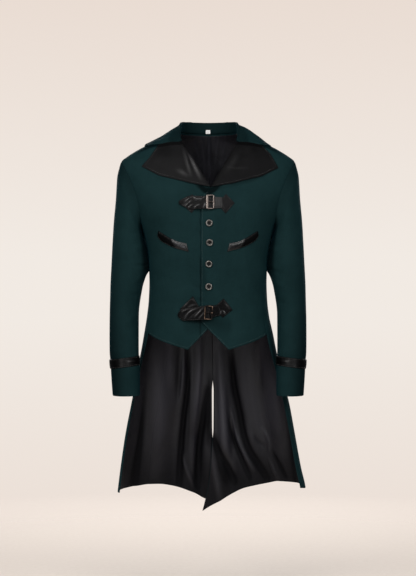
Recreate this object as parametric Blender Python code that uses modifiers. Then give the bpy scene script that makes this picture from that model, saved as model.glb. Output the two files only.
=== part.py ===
"""Tailcoat, filled out as if worn, with nobody in it.

Metres, +Z up, +X to the viewer's right, the coat faces -Y.  The wearer's right
side is at -X.  The origin lies on the mid plane at the height of the shoulders.
A side is -1 for the wearer's right (-X) and +1 for the wearer's left (+X).
"""
import math

import bmesh
import bpy
import numpy as np
from mathutils import Vector
from mathutils.bvhtree import BVHTree

# Cloth, leather and seams
SHELL = 0.0020
LINING = 0.0010
LEATHER = 0.0016
CUFF_WALL = 0.0022
LAPEL_WALL = 0.0022
COLLAR_WALL = 0.0024
SEAM = 0.0002
SEAT = 0.0004
LAID_SEAT = 0.0007
LINING_MARGIN = 0.004

# Armhole, from the shoulder point down to the underarm point
SHOULDER_POINT = (0.2425, -0.062)
UNDERARM_POINT = (0.184, -0.25)
ARMHOLE_SCOOP = 0.0135
ARMHOLE_POINTS = 24
SIDE_SEAM_TURN = 150
BACK_SEAM_TURN = 255
NECK_HEIGHT = 0.022

# Front overlap
EDGE_LEFT_FRONT = -0.0196
EDGE_RIGHT_FRONT = 0.0200
UNDERLAP_DEPTH = 0.0030
UNDERLAP_START = -0.085
UNDERLAP_WIDTH = 0.055

# Grid steps
FRONT_ACROSS = 8
FRONT_HEM_INNER = 3
FRONT_HEM_OUTER = 3
FRONT_EDGE_STEPS = 9
ROLL_STEPS = 5
NECK_STEPS = 3
BACK_ACROSS = 6
SHOULDER_STEPS = 4
SEAM_ABOVE_WAIST = 7
SEAM_BELOW_WAIST = 10
WAIST_HEIGHT = -0.50
VENT_HEIGHT = -0.67
VENT_STEPS = 3

# Body cross sections: height, half width right side, half width left side,
# depth in front of the mid plane, depth behind it, power of the oval
SECTIONS = (
    (-1.090, 0.2640, 0.2870, 0.124, 0.172, 2.3),
    (-0.970, 0.2515, 0.2730, 0.122, 0.158, 2.3),
    (-0.918, 0.2450, 0.2607, 0.121, 0.151, 2.3),
    (-0.829, 0.2321, 0.2439, 0.120, 0.141, 2.3),
    (-0.717, 0.2106, 0.2215, 0.119, 0.130, 2.2),
    (-0.605, 0.1900, 0.1950, 0.118, 0.121, 2.2),
    (-0.582, 0.1856, 0.1900, 0.118, 0.119, 2.2),
    (-0.538, 0.1780, 0.1810, 0.117, 0.115, 2.2),
    (-0.493, 0.1708, 0.1710, 0.116, 0.109, 2.2),
    (-0.450, 0.1660, 0.1660, 0.115, 0.103, 2.2),
    (-0.400, 0.1640, 0.1640, 0.115, 0.100, 2.2),
    (-0.330, 0.1670, 0.1670, 0.121, 0.106, 2.3),
    (-0.250, 0.1840, 0.1840, 0.128, 0.119, 2.4),
    (-0.168, 0.2290, 0.2290, 0.123, 0.125, 2.5),
    (-0.110, 0.2470, 0.2470, 0.109, 0.121, 2.5),
    (-0.080, 0.2470, 0.2470, 0.099, 0.116, 2.5),
    (-0.062, 0.2425, 0.2425, 0.092, 0.112, 2.5),
    (-0.047, 0.2250, 0.2250, 0.085, 0.108, 2.4),
    (-0.034, 0.2050, 0.2050, 0.078, 0.103, 2.3),
    (-0.020, 0.1800, 0.1800, 0.069, 0.097, 2.2),
    (-0.008, 0.1530, 0.1530, 0.060, 0.091, 2.1),
    (0.004, 0.1240, 0.1240, 0.052, 0.084, 2.1),
    (0.014, 0.0970, 0.0970, 0.045, 0.077, 2.0),
    (0.022, 0.0780, 0.0780, 0.040, 0.071, 2.0),
    (0.032, 0.0600, 0.0600, 0.034, 0.063, 2.0),
)
# Side seam and tail edge: height, turn right side, turn left side
SIDE_SEAM = (
    (-1.00, 77.0, 69.0),
    (-0.70, 76.0, 69.0),
    (-0.62, 73.0, 66.5),
    (-0.54, 69.0, 62.7),
    (-0.45, 73.0, 69.0),
    (-0.36, 76.0, 74.5),
    (-0.237, 77.5, 77.5),
)
# Seam between side piece and back piece: height, turn
BACK_SEAM = (
    (-1.00, 136.0),
    (-0.80, 138.0),
    (-0.56, 140.0),
    (-0.42, 141.0),
    (-0.33, 138.0),
    (-0.25, 132.0),
)
# Centre back edges: height, x right tail, x left tail, y right tail, y left tail
CENTRE_BACK = (
    (-1.070, 0.0320, -0.0180, 0.0060, -0.0060),
    (-0.980, 0.0220, 0.0020, 0.0060, -0.0060),
    (-0.850, 0.0132, 0.0136, 0.0050, -0.0050),
    (-0.820, 0.0112, 0.0160, 0.0036, -0.0036),
    (-0.710, 0.0108, 0.0165, 0.0000, 0.0000),
    (-0.670, 0.0135, 0.0135, 0.0000, 0.0000),
    (-0.640, 0.0135, 0.0135, 0.0000, 0.0000),
    (-0.400, 0.0080, 0.0080, 0.0000, 0.0000),
    (0.032, 0.0020, 0.0020, 0.0000, 0.0000),
)
# Tail hems: x, height
HEM_RIGHT = (
    (-0.270, -0.9880),
    (-0.240, -0.9822),
    (-0.207, -0.9805),
    (-0.173, -0.9772),
    (-0.139, -0.9789),
    (-0.105, -0.9858),
    (-0.070, -0.9953),
    (-0.035, -1.0105),
    (-0.017, -1.0220),
    (0.030, -1.0360),
)
HEM_LEFT = (
    (-0.018, -1.0616),
    (0.000, -1.0500),
    (0.035, -1.0296),
    (0.070, -1.0100),
    (0.105, -0.9912),
    (0.139, -0.9823),
    (0.173, -0.9755),
    (0.207, -0.9677),
    (0.241, -0.9674),
    (0.257, -0.9680),
    (0.285, -0.9760),
)
# Turns between which the middle of the back moves to the centre back edges
CENTRE_TURNS = (95.0, 180.0)
# Heights and turns between which the folds of the tails grow
FOLD_HEIGHTS = (-0.52, -0.96)
FOLD_TURNS = (70.0, 95.0)
# Standing folds of the tails: place across (-1 to 1), spread, depth at the hem
TAIL_FOLDS = (
    (-0.72, 0.09, 0.0050),
    (-0.47, 0.07, -0.0060),
    (-0.30, 0.06, 0.0070),
    (-0.17, 0.05, -0.0060),
    (-0.07, 0.05, 0.0050),
    (0.12, 0.05, 0.0060),
    (0.25, 0.06, -0.0070),
    (0.43, 0.09, 0.0070),
    (0.64, 0.08, -0.0060),
    (0.80, 0.07, 0.0040),
)
# Front hem: x, height, from the overlap corner to the point, then to the side
HEM_FRONT_TOP = -0.506
HEM_FRONT_INNER = ((0.0000, -0.5259), (0.0557, -0.5827))
HEM_FRONT_OUTER = ((0.0557, -0.5827), (0.1000, -0.5690))
# Height at which the front hem meets the side seam
FRONT_CORNER = {-1: -0.5382, 1: -0.5418}
# Heights between which the front edge runs over to the foot of the roll line
EDGE_BEND = (-0.175, -0.158)
# Roll line of a lapel, from its foot to the collar: x, height
ROLL_LINE = {
    -1: ((0.0050, -0.1380), (-0.0345, -0.0770), (-0.0785, -0.0115)),
    1: ((0.0110, -0.1380), (0.0460, -0.0770), (0.0850, -0.0115)),
}
# Neckline of a front between roll line and shoulder seam: turn, height
NECK_LINE = {
    -1: ((47.0, 0.0085), (62.0, 0.0165)),
    1: ((51.0, 0.0085), (66.0, 0.0165)),
}
# Lapel outline: bottom edge from foot to tip, then free edge up to the gorge end
LAPEL_BOTTOM = {
    -1: ((0.0050, -0.1380), (-0.0547, -0.1259), (-0.1348, -0.1057), (-0.1815, -0.0800)),
    1: ((0.0110, -0.1380), (0.0656, -0.1289), (0.1458, -0.1078), (0.1925, -0.0838)),
}
LAPEL_FREE = {
    -1: ((-0.1815, -0.0800), (-0.1590, -0.0547), (-0.1368, -0.0190)),
    1: ((0.1925, -0.0838), (0.1712, -0.0448), (0.1490, -0.0205)),
}
# Sleeve stations: place along, outer x, outer z, inner x, inner z, half depth, y
SLEEVE = (
    (0.00, 0.2425, -0.0620, 0.1840, -0.2500, 0.0660, 0.000),
    (0.08, 0.2535, -0.1000, 0.1822, -0.2640, 0.0770, 0.000),
    (0.19, 0.2578, -0.1650, 0.1762, -0.2880, 0.0760, 0.000),
    (0.30, 0.2640, -0.2350, 0.1708, -0.3180, 0.0720, -0.001),
    (0.47, 0.2700, -0.3500, 0.1670, -0.3560, 0.0660, -0.006),
    (0.57, 0.2725, -0.4150, 0.1830, -0.4150, 0.0600, -0.016),
    (0.69, 0.2730, -0.4900, 0.1920, -0.4900, 0.0550, -0.036),
    (0.84, 0.2714, -0.5880, 0.1910, -0.5880, 0.0500, -0.066),
    (0.90, 0.2682, -0.6200, 0.1892, -0.6200, 0.0495, -0.076),
    (1.00, 0.2610, -0.7075, 0.1868, -0.7075, 0.0500, -0.104),
)
SLEEVE_TOP = (0.0, 0.03, 0.08, 0.15)
SLEEVE_END = 0.86
SLEEVE_RINGS = 7
CUFF_START = 0.893
CUFF_RINGS = (0.8938, 0.925, 0.965, 1.0)
BAND_RINGS = 4
# Length of sleeve over which its round form takes over from the armhole
SLEEVE_BLEND = 0.09
SLEEVE_AWAY = (0.95, 0.0, -0.31)
# Cuff band edges along the sleeve: place at the outer side, place at the inner side
BAND_TOP = (0.888, 0.866)
BAND_BOTTOM = (0.919, 0.908)

# Collar stations from the front end to the centre back: place, foot of the
# stand x y z, fold x y z, outer edge x y z
COLLAR = (
    (0.00, 0.0735, -0.0535, -0.0060, 0.0755, -0.0575, -0.0055, 0.1700, -0.0290, -0.0190),
    (0.12, 0.0765, -0.0395, 0.0085, 0.0750, -0.0400, 0.0165, 0.1740, -0.0130, -0.0170),
    (0.25, 0.0775, -0.0210, 0.0190, 0.0750, -0.0190, 0.0355, 0.1720, 0.0060, -0.0110),
    (0.40, 0.0768, 0.0050, 0.0240, 0.0745, 0.0060, 0.0485, 0.1600, 0.0330, -0.0080),
    (0.55, 0.0680, 0.0330, 0.0242, 0.0665, 0.0330, 0.0540, 0.1320, 0.0680, -0.0110),
    (0.75, 0.0430, 0.0580, 0.0242, 0.0430, 0.0590, 0.0554, 0.0820, 0.0960, -0.0160),
    (1.00, 0.0000, 0.0705, 0.0242, 0.0000, 0.0720, 0.0556, 0.0000, 0.1080, -0.0180),
)
# How far the collar spreads on each side, at its fold and at its edge
COLLAR_SPREAD = {-1: (0.985, 1.02), 1: (1.06, 0.985)}
COLLAR_BULGE = {-1: 0.0, 1: 0.0080}
COLLAR_ALONG = 12
COLLAR_FOLD = 0.0036
# Shares of the fall with a row of points, and its gap to the cloth underneath
COLLAR_FALL = (0.25, 0.5, 0.75, 1.0)
COLLAR_GAP = (0.0085, 0.0025)

# Lapel form
LAPEL_ROWS = 7
LAPEL_ACROSS = 7
LAPEL_SEAT = 0.0008
LAPEL_RISE = 0.0035
LAPEL_ROLL = 0.0036

# Pocket welt of the wearer's left side, outer end first: x, height
WELT_TOP = (
    (0.1355, -0.2580), (0.1222, -0.2665), (0.1001, -0.2800), (0.0800, -0.2885), (0.0589, -0.2925),
)
WELT_BOTTOM = (
    (0.1385, -0.2710), (0.1300, -0.2835), (0.1123, -0.2950), (0.0881, -0.3055), (0.0526, -0.3150),
)
WELT_STEPS = 8

# Fastenings: patch corners, then straps as root, tip, half widths and point length,
# then buckle as x, height, half width, half height and tilt
CHEST_PATCHES = {
    -1: ((-0.0740, -0.1829), (-0.0449, -0.2101), (-0.0225, -0.1835), (-0.0428, -0.1592)),
    1: ((0.0240, -0.1845), (0.0477, -0.2115), (0.0727, -0.1829), (0.0490, -0.1584)),
}
CHEST_STRAPS = {
    -1: ((0.0036, -0.1815), (-0.0790, -0.1815), 0.0172, 0.0172, 0.012),
    1: ((0.0082, -0.1820), (0.0381, -0.1825), 0.0160, 0.0145, 0.0),
}
CHEST_BUCKLE = (0.0062, -0.1805, 0.0118, 0.0205, 0.0)
WAIST_PATCHES = {
    -1: ((-0.0764, -0.4717), (-0.0477, -0.5031), (-0.0225, -0.4690), (-0.0409, -0.4370)),
    1: ((0.0170, -0.4662), (0.0401, -0.4954), (0.0668, -0.4744), (0.0426, -0.4430)),
}
WAIST_STRAPS = {
    -1: ((-0.0010, -0.4815), (-0.0815, -0.4890), 0.0195, 0.0155, 0.011),
    1: ((0.0036, -0.4800), (0.0330, -0.4740), 0.0160, 0.0145, 0.0),
}
WAIST_BUCKLE = (0.0014, -0.4818, 0.0120, 0.0200, -0.05)
PATCH_WALL = 0.0012
STRAP_SEAT = 0.0026
STRAP_WALL = 0.0018
STRAP_STEPS = 7
STRAP_ACROSS = 4
PATCH_STEPS = 4
TIP_WIDTH = 0.22
BUCKLE_SEAT = 0.0050
BUCKLE_WALL = 0.0024
BUCKLE_BAR = 0.0036
BUCKLE_LEFT_BAR = 0.0070
BUCKLE_CORNER = 0.004
BUCKLE_HOLE_CORNER = 0.002
CORNER_STEPS = 4
# Buckle face: share of the way from the outer edge to the hole, share of its height
BUCKLE_FACE = ((0.0, 0.55), (0.2, 1.0), (0.8, 1.0), (1.0, 0.55))
PRONG_RADIUS = 0.0011

# Buttons: x, height; then the turned profile as radius, height, top to bottom
BUTTONS = ((0.0033, -0.2375), (0.0044, -0.2904), (0.0025, -0.3487), (0.0022, -0.4109))
BUTTON_PROFILE = (
    (0.0000, 0.0018), (0.0044, 0.0018), (0.0058, 0.0032), (0.0074, 0.0042),
    (0.0090, 0.0034), (0.0098, 0.0018), (0.0092, 0.0000), (0.0000, 0.0000),
)
BUTTON_SIDES = 16

# Label inside the neck
LABEL_SIZE = (0.0140, 0.0110)
LABEL_FOOT = 0.0250
LABEL_DEPTH = 0.0700
LABEL_SLOPE = 0.06
LABEL_WALL = 0.0006

COLOURS = {
    "cloth": (0.010, 0.024, 0.027, 1.0),
    "leather": (0.012, 0.012, 0.013, 1.0),
    "lining": (0.012, 0.012, 0.014, 1.0),
    "silver": (0.420, 0.400, 0.360, 1.0),
    "label": (0.700, 0.700, 0.680, 1.0),
}
METAL = ("silver",)
SHARP_ANGLE = 40


def curve(knots, values, at):
    """Read a table at any place with a smooth curve that never overshoots."""
    knots, values = np.asarray(knots, float), np.asarray(values, float)
    at = np.clip(np.asarray(at, float), knots[0], knots[-1])
    width, slope = np.diff(knots), np.diff(values) / np.diff(knots)
    tangent = np.concatenate(([slope[0]], np.zeros(len(knots) - 2), [slope[-1]]))
    for i in range(1, len(knots) - 1):
        if slope[i - 1] * slope[i] > 0:
            after, before = 2 * width[i] + width[i - 1], width[i] + 2 * width[i - 1]
            tangent[i] = (after + before) / (after / slope[i - 1] + before / slope[i])
    i = np.clip(np.searchsorted(knots, at, side="right") - 1, 0, len(width) - 1)
    t, h = (at - knots[i]) / width[i], width[i]
    return (
        values[i] * (1 + 2 * t) * (1 - t) ** 2
        + h * tangent[i] * t * (1 - t) ** 2
        + values[i + 1] * t * t * (3 - 2 * t)
        + h * tangent[i + 1] * t * t * (t - 1)
    )


def column(table, number, at):
    """Read one column of a table whose first column is the place."""
    return curve([row[0] for row in table], [row[number] for row in table], at)


def ease(t):
    """Go from 0 to 1 with a soft start and end."""
    t = np.clip(t, 0.0, 1.0)
    return t * t * (3.0 - 2.0 * t)


def by_side(turn, right, left):
    """Choose the value of the wearer's right or left side."""
    return np.where(np.asarray(turn) > 0, left, right)


def torso(height, turn):
    """Give the outer face of the coat at a height and a turn from centre front."""
    height, turn = np.broadcast_arrays(np.asarray(height, float), np.asarray(turn, float))
    half = by_side(turn, column(SECTIONS, 1, height), column(SECTIONS, 2, height))
    power = 2.0 / column(SECTIONS, 5, height)
    angle = np.radians(np.abs(turn))
    front = np.abs(turn) < 90
    depth = np.where(front, -column(SECTIONS, 3, height), column(SECTIONS, 4, height))
    across = np.sign(turn) * np.clip(np.sin(angle), 0.0, 1.0) ** power
    x, y = half * across, depth * np.abs(np.cos(angle)) ** power
    centre = ease((np.abs(turn) - CENTRE_TURNS[0]) / (CENTRE_TURNS[1] - CENTRE_TURNS[0]))
    x = x + centre * by_side(turn, column(CENTRE_BACK, 1, height), column(CENTRE_BACK, 2, height))
    y = y + centre * by_side(turn, column(CENTRE_BACK, 3, height), column(CENTRE_BACK, 4, height))
    reach = ease((FOLD_HEIGHTS[0] - height) / (FOLD_HEIGHTS[0] - FOLD_HEIGHTS[1]))
    reach = reach * ease((np.abs(turn) - FOLD_TURNS[0]) / (FOLD_TURNS[1] - FOLD_TURNS[0]))
    for place, spread, size in TAIL_FOLDS:
        y = y - reach * size * np.exp(-(((across - place) / spread) ** 2))
    return np.stack([x, y, height], -1)


def outward(height, turn):
    """Give the direction that points out of the cloth."""
    height, turn = np.broadcast_arrays(np.asarray(height, float), np.asarray(turn, float))
    low, high = np.clip(turn - 0.6, -180, 180), np.clip(turn + 0.6, -180, 180)
    along = torso(height, high) - torso(height, low)
    up = torso(height + 0.001, turn) - torso(height - 0.001, turn)
    normal = np.cross(along, up)
    return normal / np.linalg.norm(normal, axis=-1, keepdims=True)


def turn_at(x, height):
    """Find the turn of the front surface at a place across."""
    x, height = np.broadcast_arrays(np.asarray(x, float), np.asarray(height, float))
    half, power = column(SECTIONS, 1, height), column(SECTIONS, 5, height)
    return np.sign(x) * np.degrees(np.arcsin(np.clip(np.abs(x) / half, 0, 1) ** (power / 2)))


def armhole(turn):
    """Give height and body turn of the armhole edge, from the shoulder over the front."""
    turn = np.asarray(turn, float)
    drop = (1 - np.cos(np.radians(turn))) / 2
    height = SHOULDER_POINT[1] + drop * (UNDERARM_POINT[1] - SHOULDER_POINT[1])
    x = SHOULDER_POINT[0] + drop * (UNDERARM_POINT[0] - SHOULDER_POINT[0])
    x = x - ARMHOLE_SCOOP * np.sin(np.pi * drop)
    ratio = np.clip(x / column(SECTIONS, 1, height), 0.0, 1.0)
    body = np.degrees(np.arcsin(ratio ** (column(SECTIONS, 5, height) / 2)))
    return height, np.where(turn <= 180, body, 180 - body)


def spaced(points, steps):
    """Divide a line of points into even steps."""
    points = np.asarray(points, float)
    lengths = np.concatenate(([0], np.cumsum(np.linalg.norm(np.diff(points, axis=0), axis=1))))
    places = np.linspace(0, lengths[-1], steps + 1)
    return np.stack([np.interp(places, lengths, points[:, k]) for k in range(points.shape[1])], -1)


def joined(*parts):
    """Join lines of points that share their end points."""
    return np.vstack([part if i == 0 else part[1:] for i, part in enumerate(parts)])


def patch(left, right, bottom, top):
    """Fill four edges with a grid; rows go from bottom to top."""
    rows, columns = len(left), len(bottom)
    v, u = np.linspace(0, 1, rows)[:, None, None], np.linspace(0, 1, columns)[None, :, None]
    sides = (1 - u) * left[:, None] + u * right[:, None]
    ends = (1 - v) * bottom[None] + v * top[None]
    low = (1 - u) * bottom[0] + u * bottom[-1]
    high = (1 - u) * top[0] + u * top[-1]
    return sides + ends - ((1 - v) * low + v * high)


def drawn_in(grid, left=0.0, right=0.0, bottom=0.0, top=0.0):
    """Move the edges of a grid towards its inside."""
    grid = grid.copy()
    for index, inner, size in ((0, 1, left), (-1, -2, right)):
        step = grid[:, inner] - grid[:, index]
        grid[:, index] += size * step / np.linalg.norm(step, axis=-1, keepdims=True)
    for index, inner, size in ((0, 1, bottom), (-1, -2, top)):
        step = grid[inner] - grid[index]
        grid[index] += size * step / np.linalg.norm(step, axis=-1, keepdims=True)
    return grid


def add_object(name, data, colour):
    """Add one closed body with its own material."""
    material = bpy.data.materials.new(name + "_material")
    material.use_nodes = True
    shader = material.node_tree.nodes["Principled BSDF"]
    shader.inputs["Base Color"].default_value = COLOURS[colour]
    shader.inputs["Roughness"].default_value = 0.35 if colour in METAL else 0.7
    shader.inputs["Metallic"].default_value = 1.0 if colour in METAL else 0.0
    data.materials.append(material)
    thing = bpy.data.objects.new(name, data)
    COAT.objects.link(thing)
    return thing


def add_wall(name, outer, inner, colour, wrap=False):
    """Lay a grid on the outer points and extrude it to the inner ones."""
    if wrap:
        outer, inner = (np.concatenate([g, g[:, :1]], axis=1) for g in (outer, inner))
    rows, columns = outer.shape[:2]
    body = bmesh.new()
    bmesh.ops.create_grid(body, x_segments=columns - 1, y_segments=rows - 1, size=1.0)
    place = body.verts.layers.int.new("place")
    for vert in body.verts:
        j = round((vert.co.x + 1) / 2 * (columns - 1))
        i = round((vert.co.y + 1) / 2 * (rows - 1))
        vert[place] = i * columns + j
    bmesh.ops.triangulate(body, faces=body.faces, quad_method="FIXED")
    for vert in body.verts:
        vert.co = outer.reshape(-1, 3)[vert[place]]
    first = list(body.verts)
    bmesh.ops.extrude_face_region(body, geom=list(body.faces), use_keep_orig=True)
    for vert in set(body.verts) - set(first):
        vert.co = inner.reshape(-1, 3)[vert[place]]
    if wrap:
        ends = [f for f in body.faces
                if {v[place] % columns for v in f.verts} in ({0}, {columns - 1})]
        bmesh.ops.delete(body, geom=ends, context="FACES_ONLY")
        bmesh.ops.remove_doubles(body, verts=body.verts, dist=1e-6)
    bmesh.ops.triangulate(body, faces=body.faces)
    bmesh.ops.recalc_face_normals(body, faces=body.faces)
    mesh = bpy.data.meshes.new(name)
    body.to_mesh(mesh)
    body.free()
    mesh.shade_smooth()
    mesh.set_sharp_from_angle(angle=math.radians(SHARP_ANGLE))
    add_object(name, mesh, colour)


def side_line(side, turn_of, top, waist):
    """Follow a seam from its top to the waist, then to the tail hem."""
    above = np.linspace(top, waist, SEAM_ABOVE_WAIST + 1)
    foot = hem_height(side, turn_of(side, -1.0))
    below = np.linspace(waist, float(foot), SEAM_BELOW_WAIST + 1)[1:]
    height = np.concatenate([above, below])
    return np.stack([turn_of(side, height), height], -1)


def side_turn(side, height):
    """Turn of the side seam and, lower down, of the front edge of the tail."""
    return side * column(SIDE_SEAM, 1 if side < 0 else 2, height)


def back_turn(side, height):
    """Turn of the seam between side piece and back piece."""
    top_height, top_turn = armhole(BACK_SEAM_TURN)
    table = BACK_SEAM + ((float(top_height), float(top_turn)),)
    return side * column(table, 1, height)


def hem_height(side, turn):
    """Height of the tail hem at a turn."""
    table = np.array(HEM_RIGHT if side < 0 else HEM_LEFT)
    height = np.full(np.shape(turn), -1.0)
    for _ in range(4):
        height = np.interp(torso(height, turn)[..., 0], table[:, 0], table[:, 1])
    return height


def armhole_line(side, first, last):
    """Points of the armhole edge between two turns around the armhole."""
    steps = round(abs(last - first) * ARMHOLE_POINTS / 360)
    height, turn = armhole(np.linspace(first, last, steps + 1))
    return np.stack([side * turn, height], -1)


def on_front(points, steps):
    """Divide a line given as x and height and turn it into turn and height."""
    line = spaced(points, steps)
    return np.stack([turn_at(line[:, 0], line[:, 1]), line[:, 1]], -1)


def front_corner(side):
    """Turn and height of the place where the front hem meets the side seam."""
    return float(side_turn(side, FRONT_CORNER[side])), FRONT_CORNER[side]


def front_grid(side):
    """Turn and height grid of a front piece, rows from hem to shoulder."""
    corner = front_corner(side)
    heights = np.linspace(corner[1], float(armhole(SIDE_SEAM_TURN)[0]), SEAM_ABOVE_WAIST + 1)
    seam = np.stack([side_turn(side, heights), heights], -1)
    armhole_edge = armhole_line(side, SIDE_SEAM_TURN, 0)
    seam[-1] = armhole_edge[0]
    outer_side = joined(seam, armhole_edge)
    edge_x = EDGE_LEFT_FRONT if side > 0 else EDGE_RIGHT_FRONT
    foot = ROLL_LINE[side][0]
    bend = (edge_x * 0.8 + foot[0] * 0.2, EDGE_BEND[1])
    edge = ((edge_x, HEM_FRONT_TOP), (edge_x, EDGE_BEND[0]), bend, foot)
    roll = on_front(ROLL_LINE[side], ROLL_STEPS)
    neck = [(side * turn, height) for turn, height in NECK_LINE[side]]
    neck = spaced([roll[-1]] + neck + [(side * 90.0, NECK_HEIGHT)], NECK_STEPS)
    inner_side = joined(on_front(edge, FRONT_EDGE_STEPS), roll, neck)
    inner = [(edge_x, HEM_FRONT_TOP)] + [(side * x, z) for x, z in HEM_FRONT_INNER]
    outer = on_front([(side * x, z) for x, z in HEM_FRONT_OUTER], FRONT_HEM_OUTER)
    last = spaced((outer[-1], corner), FRONT_ACROSS - FRONT_HEM_INNER - FRONT_HEM_OUTER)
    bottom = joined(on_front(inner, FRONT_HEM_INNER), outer, last)
    top = spaced(((side * 90.0, NECK_HEIGHT), (side * 90.0, SHOULDER_POINT[1])), FRONT_ACROSS)
    return patch(inner_side, outer_side, bottom, top)


def side_grid(side):
    """Turn and height grid of a side piece with its tail, rows from hem to armhole."""
    corner = front_corner(side)
    height = float(armhole(SIDE_SEAM_TURN)[0])
    front_side = side_line(side, side_turn, height, corner[1])
    back_side = side_line(side, back_turn, float(armhole(BACK_SEAM_TURN)[0]), WAIST_HEIGHT)
    top = armhole_line(side, SIDE_SEAM_TURN, BACK_SEAM_TURN)
    front_side[0] = top[0]
    turns = np.linspace(front_side[-1, 0], back_side[-1, 0], len(top))
    bottom = np.stack([turns, hem_height(side, turns)], -1)
    return patch(front_side[::-1], back_side[::-1], bottom, top)


def back_grid(side):
    """Turn and height grid of a back piece with its tail, rows from hem to neck."""
    seam = side_line(side, back_turn, float(armhole(BACK_SEAM_TURN)[0]), WAIST_HEIGHT)
    shoulder = ((side * 90.0, NECK_HEIGHT), (side * 90.0, SHOULDER_POINT[1]))
    shoulder = spaced(shoulder, SHOULDER_STEPS)
    outer_side = joined(shoulder, armhole_line(side, 360, BACK_SEAM_TURN), seam)
    foot = float(hem_height(side, side * 180.0))
    heights = np.concatenate([
        np.linspace(NECK_HEIGHT, WAIST_HEIGHT, len(outer_side) - SEAM_BELOW_WAIST),
        np.linspace(WAIST_HEIGHT, VENT_HEIGHT, VENT_STEPS + 1)[1:],
        np.linspace(VENT_HEIGHT, foot, SEAM_BELOW_WAIST - VENT_STEPS + 1)[1:],
    ])
    centre = np.stack([np.full(len(heights), side * 180.0), heights], -1)
    turns = np.linspace(outer_side[-1, 0], side * 180.0, BACK_ACROSS + 1)
    bottom = np.stack([turns, hem_height(side, turns)], -1)
    neck = spaced((outer_side[0], centre[0]), BACK_ACROSS)
    return patch(outer_side[::-1], centre[::-1], bottom, neck)


def underlap(x):
    """How far the front that lies underneath is set back."""
    return UNDERLAP_DEPTH * ease((x - UNDERLAP_START) / UNDERLAP_WIDTH)


def add_panel(name, grid, wall, sink=0.0, colour="cloth", **edges):
    """Make a wall from a grid of turns and heights, set in below the outer face."""
    turn, height = grid[..., 0], grid[..., 1]
    face, normal = torso(height, turn), outward(height, turn)
    sink = np.broadcast_to(sink, turn.shape)[..., None]
    outer = drawn_in(face - normal * sink, **edges)
    inner = drawn_in(face - normal * (sink + wall), **edges)
    add_wall(name, outer, inner, colour)


def word(side):
    """Name of a side as the wearer has it."""
    return "right" if side < 0 else "left"


def add_body():
    """Make fronts, side pieces, back pieces and the linings behind them."""
    margin = {"bottom": LINING_MARGIN, "top": LINING_MARGIN}
    for side in (-1, 1):
        grid = front_grid(side)
        x = torso(grid[..., 1], grid[..., 0])[..., 0]
        sink = underlap(x) if side < 0 else 0.0
        add_panel("front_" + word(side), grid, SHELL, sink, right=SEAM, top=SEAM)
        pieces = (
            ("side_", side_grid(side), {"left": LINING_MARGIN, "right": SEAM}),
            ("back_", back_grid(side), {"left": SEAM, "right": LINING_MARGIN}),
        )
        for stem, grid, inside in pieces:
            add_panel(stem + word(side), grid, SHELL, left=SEAM, right=SEAM)
            add_panel(stem + "lining_" + word(side), grid, LINING, SHELL + SEAT, "lining",
                      **margin, **inside)


def tube(place, turn, lift=0.0):
    """Outer face of the left sleeve at a place along and a turn around, moved out."""
    place, turn = np.broadcast_arrays(np.asarray(place, float), np.asarray(turn, float))
    around = np.radians(turn)
    out_x, out_z, in_x, in_z, half, middle = (column(SLEEVE, k, place) for k in range(1, 7))
    mid_x, mid_z = (out_x + in_x) / 2, (out_z + in_z) / 2
    reach_x, reach_z = (out_x - in_x) / 2, (out_z - in_z) / 2
    length = np.hypot(reach_x, reach_z)
    grow = 1 + lift / length
    x = mid_x + reach_x * grow * np.cos(around)
    z = mid_z + reach_z * grow * np.cos(around)
    y = middle - (half + lift) * np.sin(around)
    round_form = np.stack([x, y, z], -1)
    rim = torso(*armhole(turn))
    middle = np.stack([mid_x, middle, mid_z], -1)
    rim = middle + (rim - middle) * (1 + lift / np.hypot(half, length) * 1.4)[..., None]
    rim = rim + np.array(SLEEVE_AWAY) * (SEAT + SEAM)
    share = ease(place / SLEEVE_BLEND)[..., None]
    return round_form * share + rim * (1 - share)


def add_sleeve(side):
    """Make top sleeve, under sleeve, cuff and the leather band over their seam."""
    turns = np.arange(ARMHOLE_POINTS) * 360 / ARMHOLE_POINTS
    mirror = np.array([side, 1, 1])
    lower = np.linspace(SLEEVE_TOP[-1], SLEEVE_END, SLEEVE_RINGS)[1:]
    rings = np.concatenate([SLEEVE_TOP, lower, [CUFF_START]])
    pieces = (
        ("sleeve_top_", BACK_SEAM_TURN - 360, SIDE_SEAM_TURN),
        ("sleeve_under_", SIDE_SEAM_TURN, BACK_SEAM_TURN),
    )
    for stem, first, last in pieces:
        steps = round((last - first) * ARMHOLE_POINTS / 360)
        places, around = np.meshgrid(rings, np.linspace(first, last, steps + 1) % 360, indexing="ij")
        outer, inner = (drawn_in(tube(places, around, lift) * mirror, left=SEAM, right=SEAM)
                        for lift in (0.0, -SHELL))
        add_wall(stem + word(side), outer, inner, "cloth")
    places, around = np.meshgrid(CUFF_RINGS, turns, indexing="ij")
    add_wall("cuff_" + word(side), tube(places, around) * mirror,
             tube(places, around, -CUFF_WALL) * mirror, "cloth", wrap=True)
    inner_share = (1 - np.cos(np.radians(turns))) / 2
    top = BAND_TOP[0] + (BAND_TOP[1] - BAND_TOP[0]) * inner_share
    bottom = BAND_BOTTOM[0] + (BAND_BOTTOM[1] - BAND_BOTTOM[0]) * inner_share
    share = np.linspace(0, 1, BAND_RINGS)[:, None]
    places = top[None] * (1 - share) + bottom[None] * share
    around = np.broadcast_to(turns, places.shape)
    add_wall("cuff_band_" + word(side), tube(places, around, SEAT + LEATHER) * mirror,
             tube(places, around, SEAT) * mirror, "leather", wrap=True)


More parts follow.
